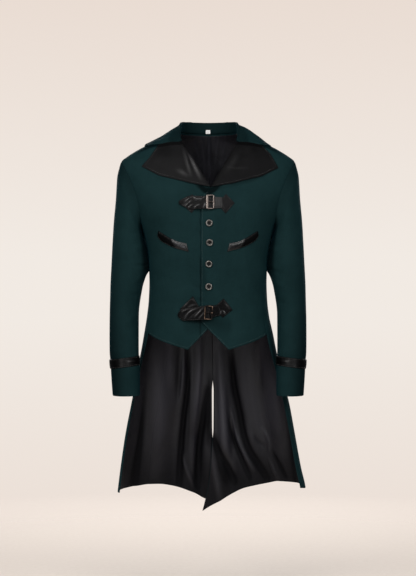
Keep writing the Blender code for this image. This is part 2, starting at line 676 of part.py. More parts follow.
def clear_of_body(points, gap):
    """Push points sideways until they stand clear of the shoulders and back."""
    points = points.copy()
    x, y, z = points[..., 0], points[..., 1], points[..., 2]
    half, power = column(SECTIONS, 1, z), column(SECTIONS, 5, z)
    depth = np.where(y < 0, column(SECTIONS, 3, z), column(SECTIONS, 4, z))
    share = ((np.abs(x) / half) ** power + (np.abs(y) / depth) ** power) ** (1 / power)
    distance = np.hypot(x, y)
    wanted = distance / share + gap
    scale = np.where((z < NECK_HEIGHT) & (distance < wanted), wanted / distance, 1.0)
    points[..., 0] *= scale
    points[..., 1] *= scale
    return points


def grid_normals(grid):
    """Directions square to a grid of points."""
    along, across = np.gradient(grid, axis=0), np.gradient(grid, axis=1)
    normal = np.cross(along, across)
    return normal / np.linalg.norm(normal, axis=-1, keepdims=True)


def collar_half(side):
    """Outer face of half the collar, rows from the front end to the centre back."""
    places = np.linspace(0, 1, COLLAR_ALONG + 1)
    past = [2 - COLLAR[-2][0]] + [value * (-1 if k % 3 == 0 else 1)
                                  for k, value in enumerate(COLLAR[-2][1:])]
    table = COLLAR + (tuple(past),)
    foot, fold, edge = (
        np.stack([column(table, k + i, places) for i in range(3)], -1) for k in (1, 4, 7)
    )
    for line, spread in zip((foot, fold, edge), COLLAR_SPREAD[side][:1] + COLLAR_SPREAD[side]):
        line[:, 0] *= spread
    away = np.stack([edge[:, 0] - fold[:, 0], edge[:, 1] - fold[:, 1], np.zeros(len(places))], -1)
    away /= np.linalg.norm(away, axis=-1, keepdims=True)
    bend = COLLAR_FOLD * (0.5 + 0.5 * ease(places * 5))[:, None]
    down = bend * np.array([0.0, 0.0, -1.0])
    start = fold + away * bend * 2 + down
    stand_top = fold + down * ease(places * 8)[:, None]
    lines = [foot, (foot + stand_top) / 2, stand_top, fold + away * bend * 0.5,
             clear_of_body(fold + away * bend * 1.5, 0.0060), clear_of_body(start, 0.0070)]
    for share in COLLAR_FALL:
        line = start * (1 - share) + edge * share
        line[:, 2] += COLLAR_BULGE[side] * math.sin(math.pi * share) * ease(places * 3)
        lines.append(clear_of_body(line, COLLAR_GAP[0] + COLLAR_GAP[1] * share))
    return np.stack(lines, 1) * np.array([side, 1, 1])


def add_collar():
    """Make the collar, stand and fall in one piece."""
    right, left = collar_half(-1), collar_half(1)
    grid = np.concatenate([right, left[::-1][1:]])
    normal = grid_normals(grid)
    add_wall("collar", grid, grid - normal * COLLAR_WALL, "cloth")


def add_lapel(side):
    """Make one lapel, folded back along its roll line."""
    roll = spaced(ROLL_LINE[side], LAPEL_ROWS)
    bottom = spaced(LAPEL_BOTTOM[side], LAPEL_ACROSS)
    free = spaced(LAPEL_FREE[side], LAPEL_ROWS)
    gorge = spaced((ROLL_LINE[side][-1], LAPEL_FREE[side][-1]), LAPEL_ACROSS)
    flat = patch(roll, free, bottom, gorge)
    rows = np.linspace(0, 1, LAPEL_ROWS + 1)[:, None]
    share = np.linspace(0, 1, LAPEL_ACROSS + 1)[None, :]
    turn = turn_at(flat[..., 0], flat[..., 1])
    face, normal = torso(flat[..., 1], turn), outward(flat[..., 1], turn)
    rise = LAPEL_RISE * np.sin(np.pi * share) * ease(rows + 0.3)
    grid = face + normal * (LAPEL_WALL + LAPEL_SEAT + rise)[..., None]
    rolled = ease(rows * 3.5)
    reach = LAPEL_ROLL * (0.4 + 0.6 * rolled)
    inward = np.array([-side * 0.85, 0.0, 0.53])
    full = LAPEL_WALL + LAPEL_SEAT
    rim = [face[:, 0] + inward * reach + normal[:, 0] * (full * (1 - rolled) - 0.0004 * rolled),
           face[:, 0] + inward * reach * 0.8 + normal[:, 0] * full * (1 - 0.4 * rolled)]
    grid = np.concatenate([np.stack(rim, 1), grid], axis=1)
    grid = drawn_in(grid, top=SEAM * 2)
    normal = grid_normals(grid) * -side
    add_wall("lapel_" + word(side), grid, grid - normal * LAPEL_WALL, "leather")


def front_tree():
    """Collect the fronts, so that other pieces can be laid on them."""
    points, faces = [], []
    for side in (-1, 1):
        mesh = bpy.data.objects["front_" + word(side)].data
        faces += [[k + len(points) for k in face.vertices] for face in mesh.polygons]
        points += [vert.co.copy() for vert in mesh.vertices]
    return BVHTree.FromPolygons(points, faces)


def on_cloth(tree, x, z):
    """Find the front's outer face at a place seen from the front."""
    spot = tree.ray_cast(Vector((x, -1.0, z)), Vector((0, 1, 0)))[0]
    return np.array(spot)


def add_laid(name, flat, seat, wall, colour, tree=None):
    """Lay a flat grid of x and height on the fronts, as a wall of its own."""
    turn = turn_at(flat[..., 0], flat[..., 1])
    base, normal = torso(flat[..., 1], turn), outward(flat[..., 1], turn)
    if tree:
        base = np.array([[on_cloth(tree, *place) for place in row] for row in flat])
    add_wall(name, base + normal * (seat + wall), base + normal * seat, colour)


def quarter_grid(corners, steps):
    """Divide a four sided outline into a grid."""
    a, b, c, d = (np.array(corner) for corner in corners)
    return patch(spaced((a, d), steps), spaced((b, c), steps), spaced((a, b), steps),
                 spaced((d, c), steps))


def add_welt(tree, side):
    """Make the curved leather welt of one pocket."""
    mirror = np.array([side, 1.0])
    top, bottom = (spaced(line, WELT_STEPS) * mirror for line in (WELT_TOP, WELT_BOTTOM))
    grid = np.stack([bottom, (bottom + top) / 2, top])
    add_laid("pocket_welt_" + word(side), grid, LAID_SEAT, LEATHER, "leather", tree)


def strap_grid(root, tip, half_root, half_tip, point):
    """Grid of a strap from its root to its tip, with a point of a given length."""
    root, tip = np.array(root), np.array(tip)
    along = (tip - root) / np.linalg.norm(tip - root)
    square = np.array([-along[1], along[0]])
    length = np.linalg.norm(tip - root)
    places = np.linspace(0, 1, STRAP_STEPS)
    places = np.append(places * (1 - point / length), 1.0) if point else places
    halves = half_root + (half_tip - half_root) * places
    halves[-1] *= TIP_WIDTH if point else 1.0
    middle = root + along * (places * length)[:, None]
    across = np.linspace(-1, 1, STRAP_ACROSS + 1)[None, :, None]
    return middle[:, None] + square * halves[:, None, None] * across


def seat_frame(tree, x, z, tilt):
    """Point on the fronts with two directions along them and one out of them."""
    base = on_cloth(tree, x, z)
    out = outward(np.array(z), turn_at(x, z))
    right = np.array([math.cos(tilt), 0.0, math.sin(tilt)])
    right = right - out * right.dot(out)
    right /= np.linalg.norm(right)
    return base, right, np.cross(out, right), out


def box_outline(half_width, half_height, corner):
    """Points around a box with round corners."""
    points = []
    for number in range(4):
        turn = math.pi / 2 * number
        sign_x = 1 if number in (0, 3) else -1
        sign_y = 1 if number in (0, 1) else -1
        for angle in np.linspace(turn, turn + math.pi / 2, CORNER_STEPS):
            points.append((sign_x * (half_width - corner) + corner * math.cos(angle),
                           sign_y * (half_height - corner) + corner * math.sin(angle)))
    return np.array(points)


def add_buckle(tree, name, x, z, half_width, half_height, tilt):
    """Make a flat buckle frame and its prong."""
    base, right, up, out = seat_frame(tree, x, z, tilt)
    outer = box_outline(half_width, half_height, BUCKLE_CORNER)
    inner = box_outline(half_width - BUCKLE_BAR, half_height - BUCKLE_BAR, BUCKLE_HOLE_CORNER)
    inner[:, 0] += np.where(inner[:, 0] < 0, BUCKLE_LEFT_BAR - BUCKLE_BAR, 0.0)
    low = BUCKLE_SEAT
    top, floor = [], []
    for share, height in BUCKLE_FACE:
        line = outer * (1 - share) + inner * share
        flat = base + line[:, :1] * right + line[:, 1:] * up
        top.append(flat + out * (low + BUCKLE_WALL * height))
        floor.append(flat + out * low)
    add_wall(name, np.stack(top), np.stack(floor), "silver", wrap=True)
    path = (
        (-half_width + BUCKLE_LEFT_BAR + 0.0016, low + 0.0012),
        (0.0, low + 0.0022),
        (half_width - BUCKLE_BAR - 0.0014, low + BUCKLE_WALL + 0.0017),
        (half_width + 0.0006, low + BUCKLE_WALL + 0.0014),
    )
    wire = bpy.data.curves.new(name + "_prong", "CURVE")
    wire.dimensions = "3D"
    wire.bevel_depth = PRONG_RADIUS
    wire.bevel_resolution = 1
    wire.use_fill_caps = True
    spline = wire.splines.new("POLY")
    spline.points.add(len(path) - 1)
    for point, (place, height) in zip(spline.points, path):
        point.co = (*(base + right * place + out * height), 1.0)
    add_object(name + "_prong", wire, "silver")


def add_fastening(tree, name, patches, straps, buckle):
    """Make diamond patches, straps and buckle of one fastening."""
    for side in (-1, 1):
        add_laid(name + "_patch_" + word(side), quarter_grid(patches[side], PATCH_STEPS),
                 LAID_SEAT, PATCH_WALL, "leather", tree)
        add_laid(name + "_strap_" + word(side), strap_grid(*straps[side]),
                 STRAP_SEAT, STRAP_WALL, "leather")
    add_buckle(tree, name + "_buckle", *buckle)


def add_button(tree, number, x, z):
    """Turn one button from its profile and seat it on the front."""
    mesh = bpy.data.meshes.new("button_%d" % number)
    points = [(r, 0.0, h) for r, h in BUTTON_PROFILE]
    mesh.from_pydata(points, [(k, k + 1) for k in range(len(points) - 1)], [])
    button = add_object("button_%d" % number, mesh, "silver")
    turned = button.modifiers.new("turned", "SCREW")
    turned.steps = turned.render_steps = BUTTON_SIDES
    turned.use_merge_vertices = True
    turned.merge_threshold = 0.00001
    base, right, up, out = seat_frame(tree, x, z, 0.0)
    button.location = Vector(base + out * SEAT)
    button.rotation_euler = Vector(out).to_track_quat("Z", "Y").to_euler()


def add_label():
    """Make the small plain label inside the back of the stand."""
    across, height = np.meshgrid(np.linspace(-1, 1, 5) * LABEL_SIZE[0] / 2,
                                 LABEL_FOOT + np.linspace(0, 1, 3) * LABEL_SIZE[1])
    depth = LABEL_DEPTH - LABEL_SLOPE * np.abs(across)
    outer = np.stack([across, depth - LABEL_WALL, height], -1)
    add_wall("neck_label", outer, np.stack([across, depth, height], -1), "label")


def clear_scene():
    """Remove everything that a new Blender file starts with."""
    for thing in list(bpy.data.objects):
        bpy.data.objects.remove(thing, do_unlink=True)


clear_scene()
COAT = bpy.data.collections.new("tailcoat")
bpy.context.scene.collection.children.link(COAT)
add_body()
add_collar()
add_label()
FRONTS = front_tree()
for which in (-1, 1):
    add_sleeve(which)
    add_lapel(which)
    add_welt(FRONTS, which)
add_fastening(FRONTS, "chest", CHEST_PATCHES, CHEST_STRAPS, CHEST_BUCKLE)
add_fastening(FRONTS, "waist", WAIST_PATCHES, WAIST_STRAPS, WAIST_BUCKLE)
for count, (place, level) in enumerate(BUTTONS, 1):
    add_button(FRONTS, count, place, level)
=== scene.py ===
"""Tailcoat, finished: cloth, lining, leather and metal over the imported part.

Metres, in the part's own frame: +Z up, the coat faces -Y, the wearer's right
side is at -X.  A side is -1 for the wearer's right and +1 for the wearer's left.
"""
import math

import bmesh
import bpy
import numpy as np
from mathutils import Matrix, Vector
from mathutils.bvhtree import BVHTree


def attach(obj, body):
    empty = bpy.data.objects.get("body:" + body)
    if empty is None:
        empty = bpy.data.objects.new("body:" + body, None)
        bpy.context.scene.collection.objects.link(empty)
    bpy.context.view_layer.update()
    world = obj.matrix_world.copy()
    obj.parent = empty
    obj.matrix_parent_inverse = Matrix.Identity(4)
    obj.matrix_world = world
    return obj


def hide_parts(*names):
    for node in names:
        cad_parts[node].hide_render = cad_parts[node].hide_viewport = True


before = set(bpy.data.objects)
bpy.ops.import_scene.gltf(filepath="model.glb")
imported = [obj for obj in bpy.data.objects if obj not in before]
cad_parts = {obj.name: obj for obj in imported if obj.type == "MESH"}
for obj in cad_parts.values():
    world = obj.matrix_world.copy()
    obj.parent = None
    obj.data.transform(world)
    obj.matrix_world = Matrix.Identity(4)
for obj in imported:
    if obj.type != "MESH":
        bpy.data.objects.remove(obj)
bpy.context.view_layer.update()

# Walls
SHELL = 0.0020
LINING = 0.0010
LEATHER = 0.0016
CUFF_WALL = 0.0022
LAPEL_WALL = 0.0022
COLLAR_WALL = 0.0024
# How far a piece ends before its seam, and how far one layer lies off the next
SEAM = 0.0002
SEAT = 0.0004
LAID_SEAT = 0.0007
# How far the linings end before the armhole and front edge, the hem and the vent
LINING_MARGIN = 0.004
HEM_MARGIN = 0.0016
VENT_MARGIN = 0.0006
# Depth and width of the groove at a seam, and of the rounding at the edges of cloth and of laid leather
GROOVE = (0.0008, 0.0024)
ROUNDING = (0.0005, 0.0012)
LAID_ROUNDING = (0.0007, 0.0012)
# Distances of the close rows beside an edge
RIM_ROWS = (0.0009, 0.0022, 0.0040)
EDGES = ("left", "right", "bottom", "top")

# The forms of the part: armhole as x and height, turns around it at which the seams meet it,
# closing edges as x
SHOULDER_POINT = (0.2425, -0.062)
UNDERARM_POINT = (0.184, -0.25)
ARMHOLE_SCOOP = 0.0135
SIDE_SEAM_TURN = 150
BACK_SEAM_TURN = 255
NECK_HEIGHT = 0.022
EDGE_LEFT_FRONT = -0.0196
EDGE_RIGHT_FRONT = 0.0200
# How far the front underneath is set back, and from where across and over what width
UNDERLAP_DEPTH = 0.0030
UNDERLAP_START = -0.085
UNDERLAP_WIDTH = 0.055
WAIST_HEIGHT = -0.50
VENT_HEIGHT = -0.67
# Steps of the part's grids, and how many finer steps each gets here
ARMHOLE_POINTS = 24
FRONT_ACROSS = 8
SIDE_ACROSS = 5
BACK_ACROSS = 7
FRONT_HEM_STEPS = (3, 3, 2)
FRONT_EDGE_STEPS = 9
BACK_HEM_STEPS = 6
ROLL_STEPS = 5
NECK_STEPS = 3
SEAM_ABOVE_WAIST = 7
SEAM_BELOW_WAIST = 10
SHOULDER_STEPS = 4
VENT_STEPS = 3
FINE = 8
# Rough length and width of the body's pieces and rough depth of the smaller ones, for the close
# rows beside their edges
FRONT_SIZE = (0.53, 0.17)
SIDE_SIZE = (0.76, 0.11)
BACK_SIZE = (1.05, 0.14)
CUFF_DEPTH = 0.07
FALL_DEPTH = 0.10
PATCH_DEPTH = 0.034
WELT_DEPTH = 0.018

# Height, half width right, half width left, depth in front, depth behind, power
SECTIONS = (
    (-1.090, 0.2640, 0.2870, 0.124, 0.172, 2.3),
    (-0.970, 0.2515, 0.2730, 0.122, 0.158, 2.3),
    (-0.918, 0.2450, 0.2607, 0.121, 0.151, 2.3),
    (-0.829, 0.2321, 0.2439, 0.120, 0.141, 2.3),
    (-0.717, 0.2106, 0.2215, 0.119, 0.130, 2.2),
    (-0.605, 0.1900, 0.1950, 0.118, 0.121, 2.2),
    (-0.582, 0.1856, 0.1900, 0.118, 0.119, 2.2),
    (-0.538, 0.1780, 0.1810, 0.117, 0.115, 2.2),
    (-0.493, 0.1708, 0.1710, 0.116, 0.109, 2.2),
    (-0.450, 0.1660, 0.1660, 0.115, 0.103, 2.2),
    (-0.400, 0.1640, 0.1640, 0.115, 0.100, 2.2),
    (-0.330, 0.1670, 0.1670, 0.121, 0.106, 2.3),
    (-0.250, 0.1840, 0.1840, 0.128, 0.119, 2.4),
    (-0.168, 0.2290, 0.2290, 0.123, 0.125, 2.5),
    (-0.110, 0.2470, 0.2470, 0.109, 0.121, 2.5),
    (-0.080, 0.2470, 0.2470, 0.099, 0.116, 2.5),
    (-0.062, 0.2425, 0.2425, 0.092, 0.112, 2.5),
    (-0.047, 0.2250, 0.2250, 0.085, 0.108, 2.4),
    (-0.034, 0.2050, 0.2050, 0.078, 0.103, 2.3),
    (-0.020, 0.1800, 0.1800, 0.069, 0.097, 2.2),
    (-0.008, 0.1530, 0.1530, 0.060, 0.091, 2.1),
    (0.004, 0.1240, 0.1240, 0.052, 0.084, 2.1),
    (0.014, 0.0970, 0.0970, 0.045, 0.077, 2.0),
    (0.022, 0.0780, 0.0780, 0.040, 0.071, 2.0),
    (0.032, 0.0600, 0.0600, 0.034, 0.063, 2.0),
)
# Side seam and, lower down, front edge of the tail: height, turn right, turn left
SIDE_SEAM = (
    (-1.00, 77.0, 69.0), (-0.70, 76.0, 69.0), (-0.62, 73.0, 66.5), (-0.54, 69.0, 62.7),
    (-0.45, 73.0, 69.0), (-0.36, 76.0, 74.5), (-0.237, 77.5, 77.5),
)
# Seam between side piece and back piece: height, turn
BACK_SEAM = (
    (-1.00, 136.0), (-0.80, 138.0), (-0.56, 140.0), (-0.42, 141.0), (-0.33, 138.0), (-0.25, 132.0),
)
# How far the centre back is moved: height, x right, x left, y right, y left
CENTRE_BACK = (
    (-1.070, 0.0320, -0.0180, 0.0060, -0.0060),
    (-0.980, 0.0220, 0.0020, 0.0060, -0.0060),
    (-0.850, 0.0132, 0.0136, 0.0050, -0.0050),
    (-0.820, 0.0112, 0.0160, 0.0036, -0.0036),
    (-0.710, 0.0108, 0.0165, 0.0000, 0.0000),
    (-0.670, 0.0135, 0.0135, 0.0000, 0.0000),
    (-0.640, 0.0135, 0.0135, 0.0000, 0.0000),
    (-0.400, 0.0080, 0.0080, 0.0000, 0.0000),
    (0.032, 0.0020, 0.0020, 0.0000, 0.0000),
)
# Hem of the tails: x, height
HEM_RIGHT = (
    (-0.270, -0.9880), (-0.240, -0.9822), (-0.207, -0.9805), (-0.173, -0.9772), (-0.139, -0.9789),
    (-0.105, -0.9858), (-0.070, -0.9953), (-0.035, -1.0105), (-0.017, -1.0220), (0.030, -1.0360),
)
HEM_LEFT = (
    (-0.018, -1.0616), (0.000, -1.0500), (0.035, -1.0296), (0.070, -1.0100), (0.105, -0.9912),
    (0.139, -0.9823), (0.173, -0.9755), (0.207, -0.9677), (0.241, -0.9674), (0.257, -0.9680),
    (0.285, -0.9760),
)
# Turns over which the move of the centre back sets in
CENTRE_TURNS = (95.0, 180.0)
# Large folds of the tails: heights and turns over which they set in, then for each its place
# across from -1 to 1, its spread and its depth inwards
FOLD_HEIGHTS = (-0.52, -0.96)
FOLD_TURNS = (70.0, 95.0)
TAIL_FOLDS = (
    (-0.72, 0.09, 0.0050), (-0.47, 0.07, -0.0060), (-0.30, 0.06, 0.0070), (-0.17, 0.05, -0.0060),
    (-0.07, 0.05, 0.0050), (0.12, 0.05, 0.0060), (0.25, 0.06, -0.0070), (0.43, 0.09, 0.0070),
    (0.64, 0.08, -0.0060), (0.80, 0.07, 0.0040),
)
# Fronts: hem from the closing edge outwards, its corner at the side seam, and the heights
# between which the closing edge bends into the roll line
HEM_FRONT_TOP = -0.506
HEM_FRONT_INNER = ((0.0000, -0.5259), (0.0557, -0.5827))
HEM_FRONT_OUTER = ((0.0557, -0.5827), (0.1000, -0.5690))
FRONT_CORNER = {-1: -0.5382, 1: -0.5418}
EDGE_BEND = (-0.175, -0.158)
# Roll line as x and height, neck edge as turn and height
ROLL_LINE = {
    -1: ((0.0050, -0.1380), (-0.0345, -0.0770), (-0.0785, -0.0115)),
    1: ((0.0110, -0.1380), (0.0460, -0.0770), (0.0850, -0.0115)),
}
NECK_LINE = {
    -1: ((47.0, 0.0085), (62.0, 0.0165)),
    1: ((51.0, 0.0085), (66.0, 0.0165)),
}
# Lapels: lower and outer edge as x and height, rows, gap to the front, rise and reach of the roll
LAPEL_BOTTOM = {
    -1: ((0.0050, -0.1380), (-0.0547, -0.1259), (-0.1348, -0.1057), (-0.1815, -0.0800)),
    1: ((0.0110, -0.1380), (0.0656, -0.1289), (0.1458, -0.1078), (0.1925, -0.0838)),
}
LAPEL_FREE = {
    -1: ((-0.1815, -0.0800), (-0.1590, -0.0547), (-0.1368, -0.0190)),
    1: ((0.1925, -0.0838), (0.1712, -0.0448), (0.1490, -0.0205)),
}
LAPEL_ROWS = 52
LAPEL_SEAT = 0.0008
LAPEL_RISE = 0.0035
LAPEL_ROLL = 0.0036

# Sleeve stations: place along, outer x and z, inner x and z, half depth, y
SLEEVE = (
    (0.00, 0.2425, -0.0620, 0.1840, -0.2500, 0.0660, 0.000),
    (0.08, 0.2535, -0.1000, 0.1822, -0.2640, 0.0770, 0.000),
    (0.19, 0.2578, -0.1650, 0.1762, -0.2880, 0.0760, 0.000),
    (0.30, 0.2640, -0.2350, 0.1708, -0.3180, 0.0720, -0.001),
    (0.47, 0.2700, -0.3500, 0.1670, -0.3560, 0.0660, -0.006),
    (0.57, 0.2725, -0.4150, 0.1830, -0.4150, 0.0600, -0.016),
    (0.69, 0.2730, -0.4900, 0.1920, -0.4900, 0.0550, -0.036),
    (0.84, 0.2714, -0.5880, 0.1910, -0.5880, 0.0500, -0.066),
    (0.90, 0.2682, -0.6200, 0.1892, -0.6200, 0.0495, -0.076),
    (1.00, 0.2610, -0.7075, 0.1868, -0.7075, 0.0500, -0.104),
)
SLEEVE_LENGTH = 0.66
SLEEVE_RADIUS = 0.060
# Places along: end of the sleeve, cuff, leather band's upper and lower edge outside and inside
CUFF_START = 0.893
CUFF_RINGS = (0.8938, 1.0)
BAND_TOP = (0.885, 0.864)
BAND_BOTTOM = (0.921, 0.908)
BAND_WIDTH = 0.026
# Turns around at which cuffs and bands have their columns
CUFF_TURNS = np.arange(ARMHOLE_POINTS * 6) * 60 / ARMHOLE_POINTS
# Waves around the cuff's edge, its bulge, the band's bulge and how deep its creases go
CUFF_WAVES = 0.0006
CUFF_BULGE = 0.0005
BAND_BULGE = 0.0009
BAND_CREASE_DEPTH = 0.0007
# Place along by which the sleeve has left the armhole's shape
SLEEVE_BLEND = 0.09
# Direction from the body into the sleeve, and how far the sleeve is tucked in against it
SLEEVE_AWAY = (0.95, 0.0, -0.31)
TUCK = 0.0008
SLEEVE_GAP = 0.0010
# Roll of the sleeve head: size, place along, spread
HEAD_ROLL = (0.0014, 0.034, 0.020)
# Folds where the sleeve lies against the side: turn around, spread in turn, size
PRESSED_FOLDS = ((158, 16, 0.0060), (208, 24, 0.0190))
# Fuller part of the back fold beside the armpit: turn, spread in turn, place, spread in place, size
ARMPIT_FOLD = (206, 22, 0.10, 0.055, 0.0150)

# Collar: place, foot of the stand x y z, fold x y z, outer edge x y z
COLLAR = (
    (0.00, 0.0735, -0.0535, -0.0060, 0.0755, -0.0575, -0.0055, 0.1700, -0.0290, -0.0190),
    (0.12, 0.0765, -0.0395, 0.0085, 0.0750, -0.0400, 0.0165, 0.1740, -0.0130, -0.0170),
    (0.25, 0.0775, -0.0210, 0.0190, 0.0750, -0.0190, 0.0355, 0.1720, 0.0060, -0.0110),
    (0.40, 0.0768, 0.0050, 0.0240, 0.0745, 0.0060, 0.0485, 0.1600, 0.0330, -0.0080),
    (0.55, 0.0680, 0.0330, 0.0242, 0.0665, 0.0330, 0.0540, 0.1320, 0.0680, -0.0110),
    (0.75, 0.0430, 0.0580, 0.0242, 0.0430, 0.0590, 0.0554, 0.0820, 0.0960, -0.0160),
    (1.00, 0.0000, 0.0705, 0.0242, 0.0000, 0.0720, 0.0556, 0.0000, 0.1080, -0.0180),
)
# Spread across of the foot and fold and of the outer edge, lift of the fall's middle, bend at the
# fold, places down the fall, its gap to the shoulders and what that gains downwards, how far its
# tips settle, from where across and over what width, and the gaps beneath the fold
COLLAR_SPREAD = {-1: (0.985, 1.02), 1: (1.06, 0.985)}
COLLAR_BULGE = {-1: 0.0, 1: 0.0080}
COLLAR_FOLD = 0.0036
COLLAR_FALL = (0.25, 0.5, 0.75, 1.0)
COLLAR_GAP = (0.0085, 0.0025)
COLLAR_SETTLED = 0.0062
COLLAR_TIPS = (0.142, 0.022)
FOLD_GAP = (0.0060, 0.0070)

# Pocket welt of the wearer's left side, outer end first: x, height
WELT_TOP = (
    (0.1355, -0.2580), (0.1222, -0.2665), (0.1001, -0.2800), (0.0800, -0.2885), (0.0589, -0.2925),
)
WELT_BOTTOM = (
    (0.1385, -0.2710), (0.1300, -0.2835), (0.1123, -0.2950), (0.0881, -0.3055), (0.0526, -0.3150),
)

# Fastenings: patch corners, straps as root, tip, half widths and point length,
# buckles as x, height, half width, half height and tilt
PATCHES = {
    "chest": {
        -1: ((-0.0740, -0.1829), (-0.0449, -0.2101), (-0.0225, -0.1835), (-0.0428, -0.1592)),
        1: ((0.0240, -0.1845), (0.0477, -0.2115), (0.0727, -0.1829), (0.0490, -0.1584)),
    },
    "waist": {
        -1: ((-0.0764, -0.4717), (-0.0477, -0.5031), (-0.0225, -0.4690), (-0.0409, -0.4370)),
        1: ((0.0170, -0.4662), (0.0401, -0.4954), (0.0668, -0.4744), (0.0426, -0.4430)),
    },
}
STRAPS = {
    "chest": {
        -1: ((0.0076, -0.1815), (-0.0790, -0.1815), 0.0172, 0.0172, 0.027),
        1: ((0.0082, -0.1820), (0.0381, -0.1825), 0.0160, 0.0145, 0.0),
    },
    "waist": {
        -1: ((0.0034, -0.4811), (-0.0815, -0.4890), 0.0195, 0.0155, 0.011),
        1: ((0.0036, -0.4800), (0.0330, -0.4740), 0.0160, 0.0145, 0.0),
    },
}
BUCKLES = {
    "chest": (0.0059, -0.1805, 0.0108, 0.0193, 0.0),
    "waist": (0.0014, -0.4818, 0.0112, 0.0190, -0.05),
}
PATCH_WALL = 0.0012
STRAP_SEAT = 0.0026
STRAP_WALL = 0.0018
TIP_WIDTH = 0.22
BUCKLE_SEAT = 0.0050
BUCKLE_WALL = 0.0024
BUCKLE_BAR = 0.0026
BUCKLE_LEFT_BAR = {"chest": 0.0056, "waist": 0.0023}
# Buttons: x, height
BUTTONS = ((0.0033, -0.2375), (0.0044, -0.2904), (0.0025, -0.3487), (0.0022, -0.4109))
# One button from the middle of its face to the middle of its back: radius, height
BUTTON_PROFILE = (
    (0.0000, 0.0019), (0.0020, 0.0018), (0.0040, 0.0017), (0.0050, 0.0019), (0.0056, 0.0027),
    (0.0062, 0.0034), (0.0070, 0.0040), (0.0078, 0.0041), (0.0086, 0.0037), (0.0093, 0.0029),
    (0.0098, 0.0019), (0.0097, 0.0011), (0.0092, 0.0003), (0.0070, 0.0000), (0.0000, 0.0000),
)
# Neck label
LABEL_HALF = 0.0062
LABEL_FOOT = 0.0240
LABEL_LENGTH = 0.0104
LABEL_DEPTH = 0.0700
LABEL_WALL = 0.0006

# Camera: level, in front of the coat and a little above its waist
CAMERA_DISTANCE = 4.5
CAMERA_HEIGHT = -0.4144
PHOTO_SIZE = (416, 576)
METRES_A_PIXEL = 0.0028
# Depths y at which places in the photo's frame are read
FRONT_DEPTH = -0.12
LAPEL_DEPTH = -0.10
STRAP_DEPTH = -0.128
NECK_DEPTH = 0.095
SHADE_DEPTH = 0.14
TAIL_DEPTH = 0.145

# Creases: a curved line of places, then half width and depth in millimetres.
# Depth above zero stands out of the cloth; the lining's stand out towards the room inside.
# Fronts, as places in the photo's frame
FRONT_CREASES = (
    (((197, 186), (208, 190), (221, 186)), 9, -1.6),
    (((201, 290), (196, 286), (188, 283)), 7, -1.0),
    (((199, 297), (192, 290), (180, 288)), 6, 0.8),
    (((215, 300), (226, 294), (240, 292)), 7, -0.9),
    (((203, 210), (198, 222), (196, 240)), 8, -0.9),
    (((214, 212), (219, 224), (228, 236)), 7, -0.7),
    (((184, 212), (172, 222), (158, 226)), 11, 0.9),
    (((236, 214), (247, 224), (262, 226)), 11, 0.9),
    (((146, 262), (156, 270), (172, 274)), 8, 0.9),
    (((270, 266), (261, 273), (246, 276)), 8, 0.9),
    (((148, 300), (158, 303), (172, 302)), 9, -0.8),
    (((268, 303), (258, 305), (246, 304)), 9, -0.8),
    (((168, 196), (167, 225), (169, 262), (168, 300)), 20, 1.6),
    (((247, 196), (248, 225), (246, 262), (247, 300)), 20, 1.4),
    (((160, 190), (157, 210), (158, 232)), 16, 1.4),
    (((258, 190), (261, 210), (260, 232)), 16, 1.4),
    (((160, 318), (166, 330), (170, 345)), 9, 0.8),
    (((252, 318), (247, 330), (244, 345)), 9, 0.8),
    (((184, 322), (187, 332), (189, 346)), 6, -0.6),
    (((230, 322), (229, 332), (228, 346)), 6, -0.6),
)
# Where the fronts lie in shade: four below the point of the lapels, two under the collar falls,
# two under the lapels, one above the waist fastening, one low in the middle, one beside the
# closing edge and two under the straps
FRONT_SHADES = (
    (((196, 184), (202, 187), (206, 193)), 6, 3.6),
    (((222, 183.5), (216, 187), (212, 193)), 6, 3.6),
    (((208.5, 187), (209, 191), (209.5, 196)), 7, 3.4),
    (((203, 188.5), (209, 190.5), (215, 188.5)), 6, 3.6),
    (((134, 151.5), (141, 147.5), (149, 144), (158, 142.4), (170, 141)), 5, 4.6),
    (((284, 152.5), (276, 147.6), (268, 144), (260, 142.2), (250, 140.5)), 5, 4.6),
    (((218, 189), (232, 184.5), (248, 180.5), (264, 174.5), (276, 169)), 8, 1.9),
    (((148, 172), (162, 179), (176, 184)), 6, 0.9),
    (((186, 295), (196, 298), (206, 300)), 6, 1.3),
    (((182, 330), (208, 320), (234, 330)), 34, 2.1),
    (((201, 258), (204, 280), (206, 300)), 11, 1.6),
    (((185, 210.2), (200, 210.6), (217, 210)), 3, 2.6),
    (((184, 321.6), (196, 322), (210, 320.8)), 3, 2.2),
)
# Linings: deep shade above zero, cloth turned to the light below zero. The sixth lies below the
# neck, the others inside the tails
TAIL_SHADES = (
    (((158, 300), (162, 356), (158, 428)), 30, -4.2),
    (((264, 300), (267, 356), (270, 430)), 22, -4.0),
    (((243, 340), (244, 380), (250, 424)), 9, -2.6),
    (((202, 336), (199, 372), (198, 402)), 7, -2.6),
    (((221, 384), (222, 430), (228, 458)), 9, -2.6),
    (((206, 158), (209, 172), (210, 190)), 14, -3.4),
    (((185, 392), (181, 440), (180, 486)), 9, 3.2),
    (((204, 402), (199, 448), (197, 488)), 9, 3.6),
    (((214, 436), (220, 462), (226, 484)), 8, 3.2),
    (((234, 440), (243, 462), (251, 480)), 5, 3.0),
    (((209, 374), (208.5, 408), (207.5, 444)), 8, 6.5),
    (((214, 374), (213.5, 408), (213, 442)), 3.5, 5.0),
    (((190, 380), (189, 412), (187, 452)), 4, 4.0),
    (((148, 318), (152, 346), (154, 380)), 13, -3.6),
    (((166, 318), (169, 348), (169, 384)), 10, -6.0),
    (((262, 318), (261, 350), (262, 376)), 9, -6.0),
)
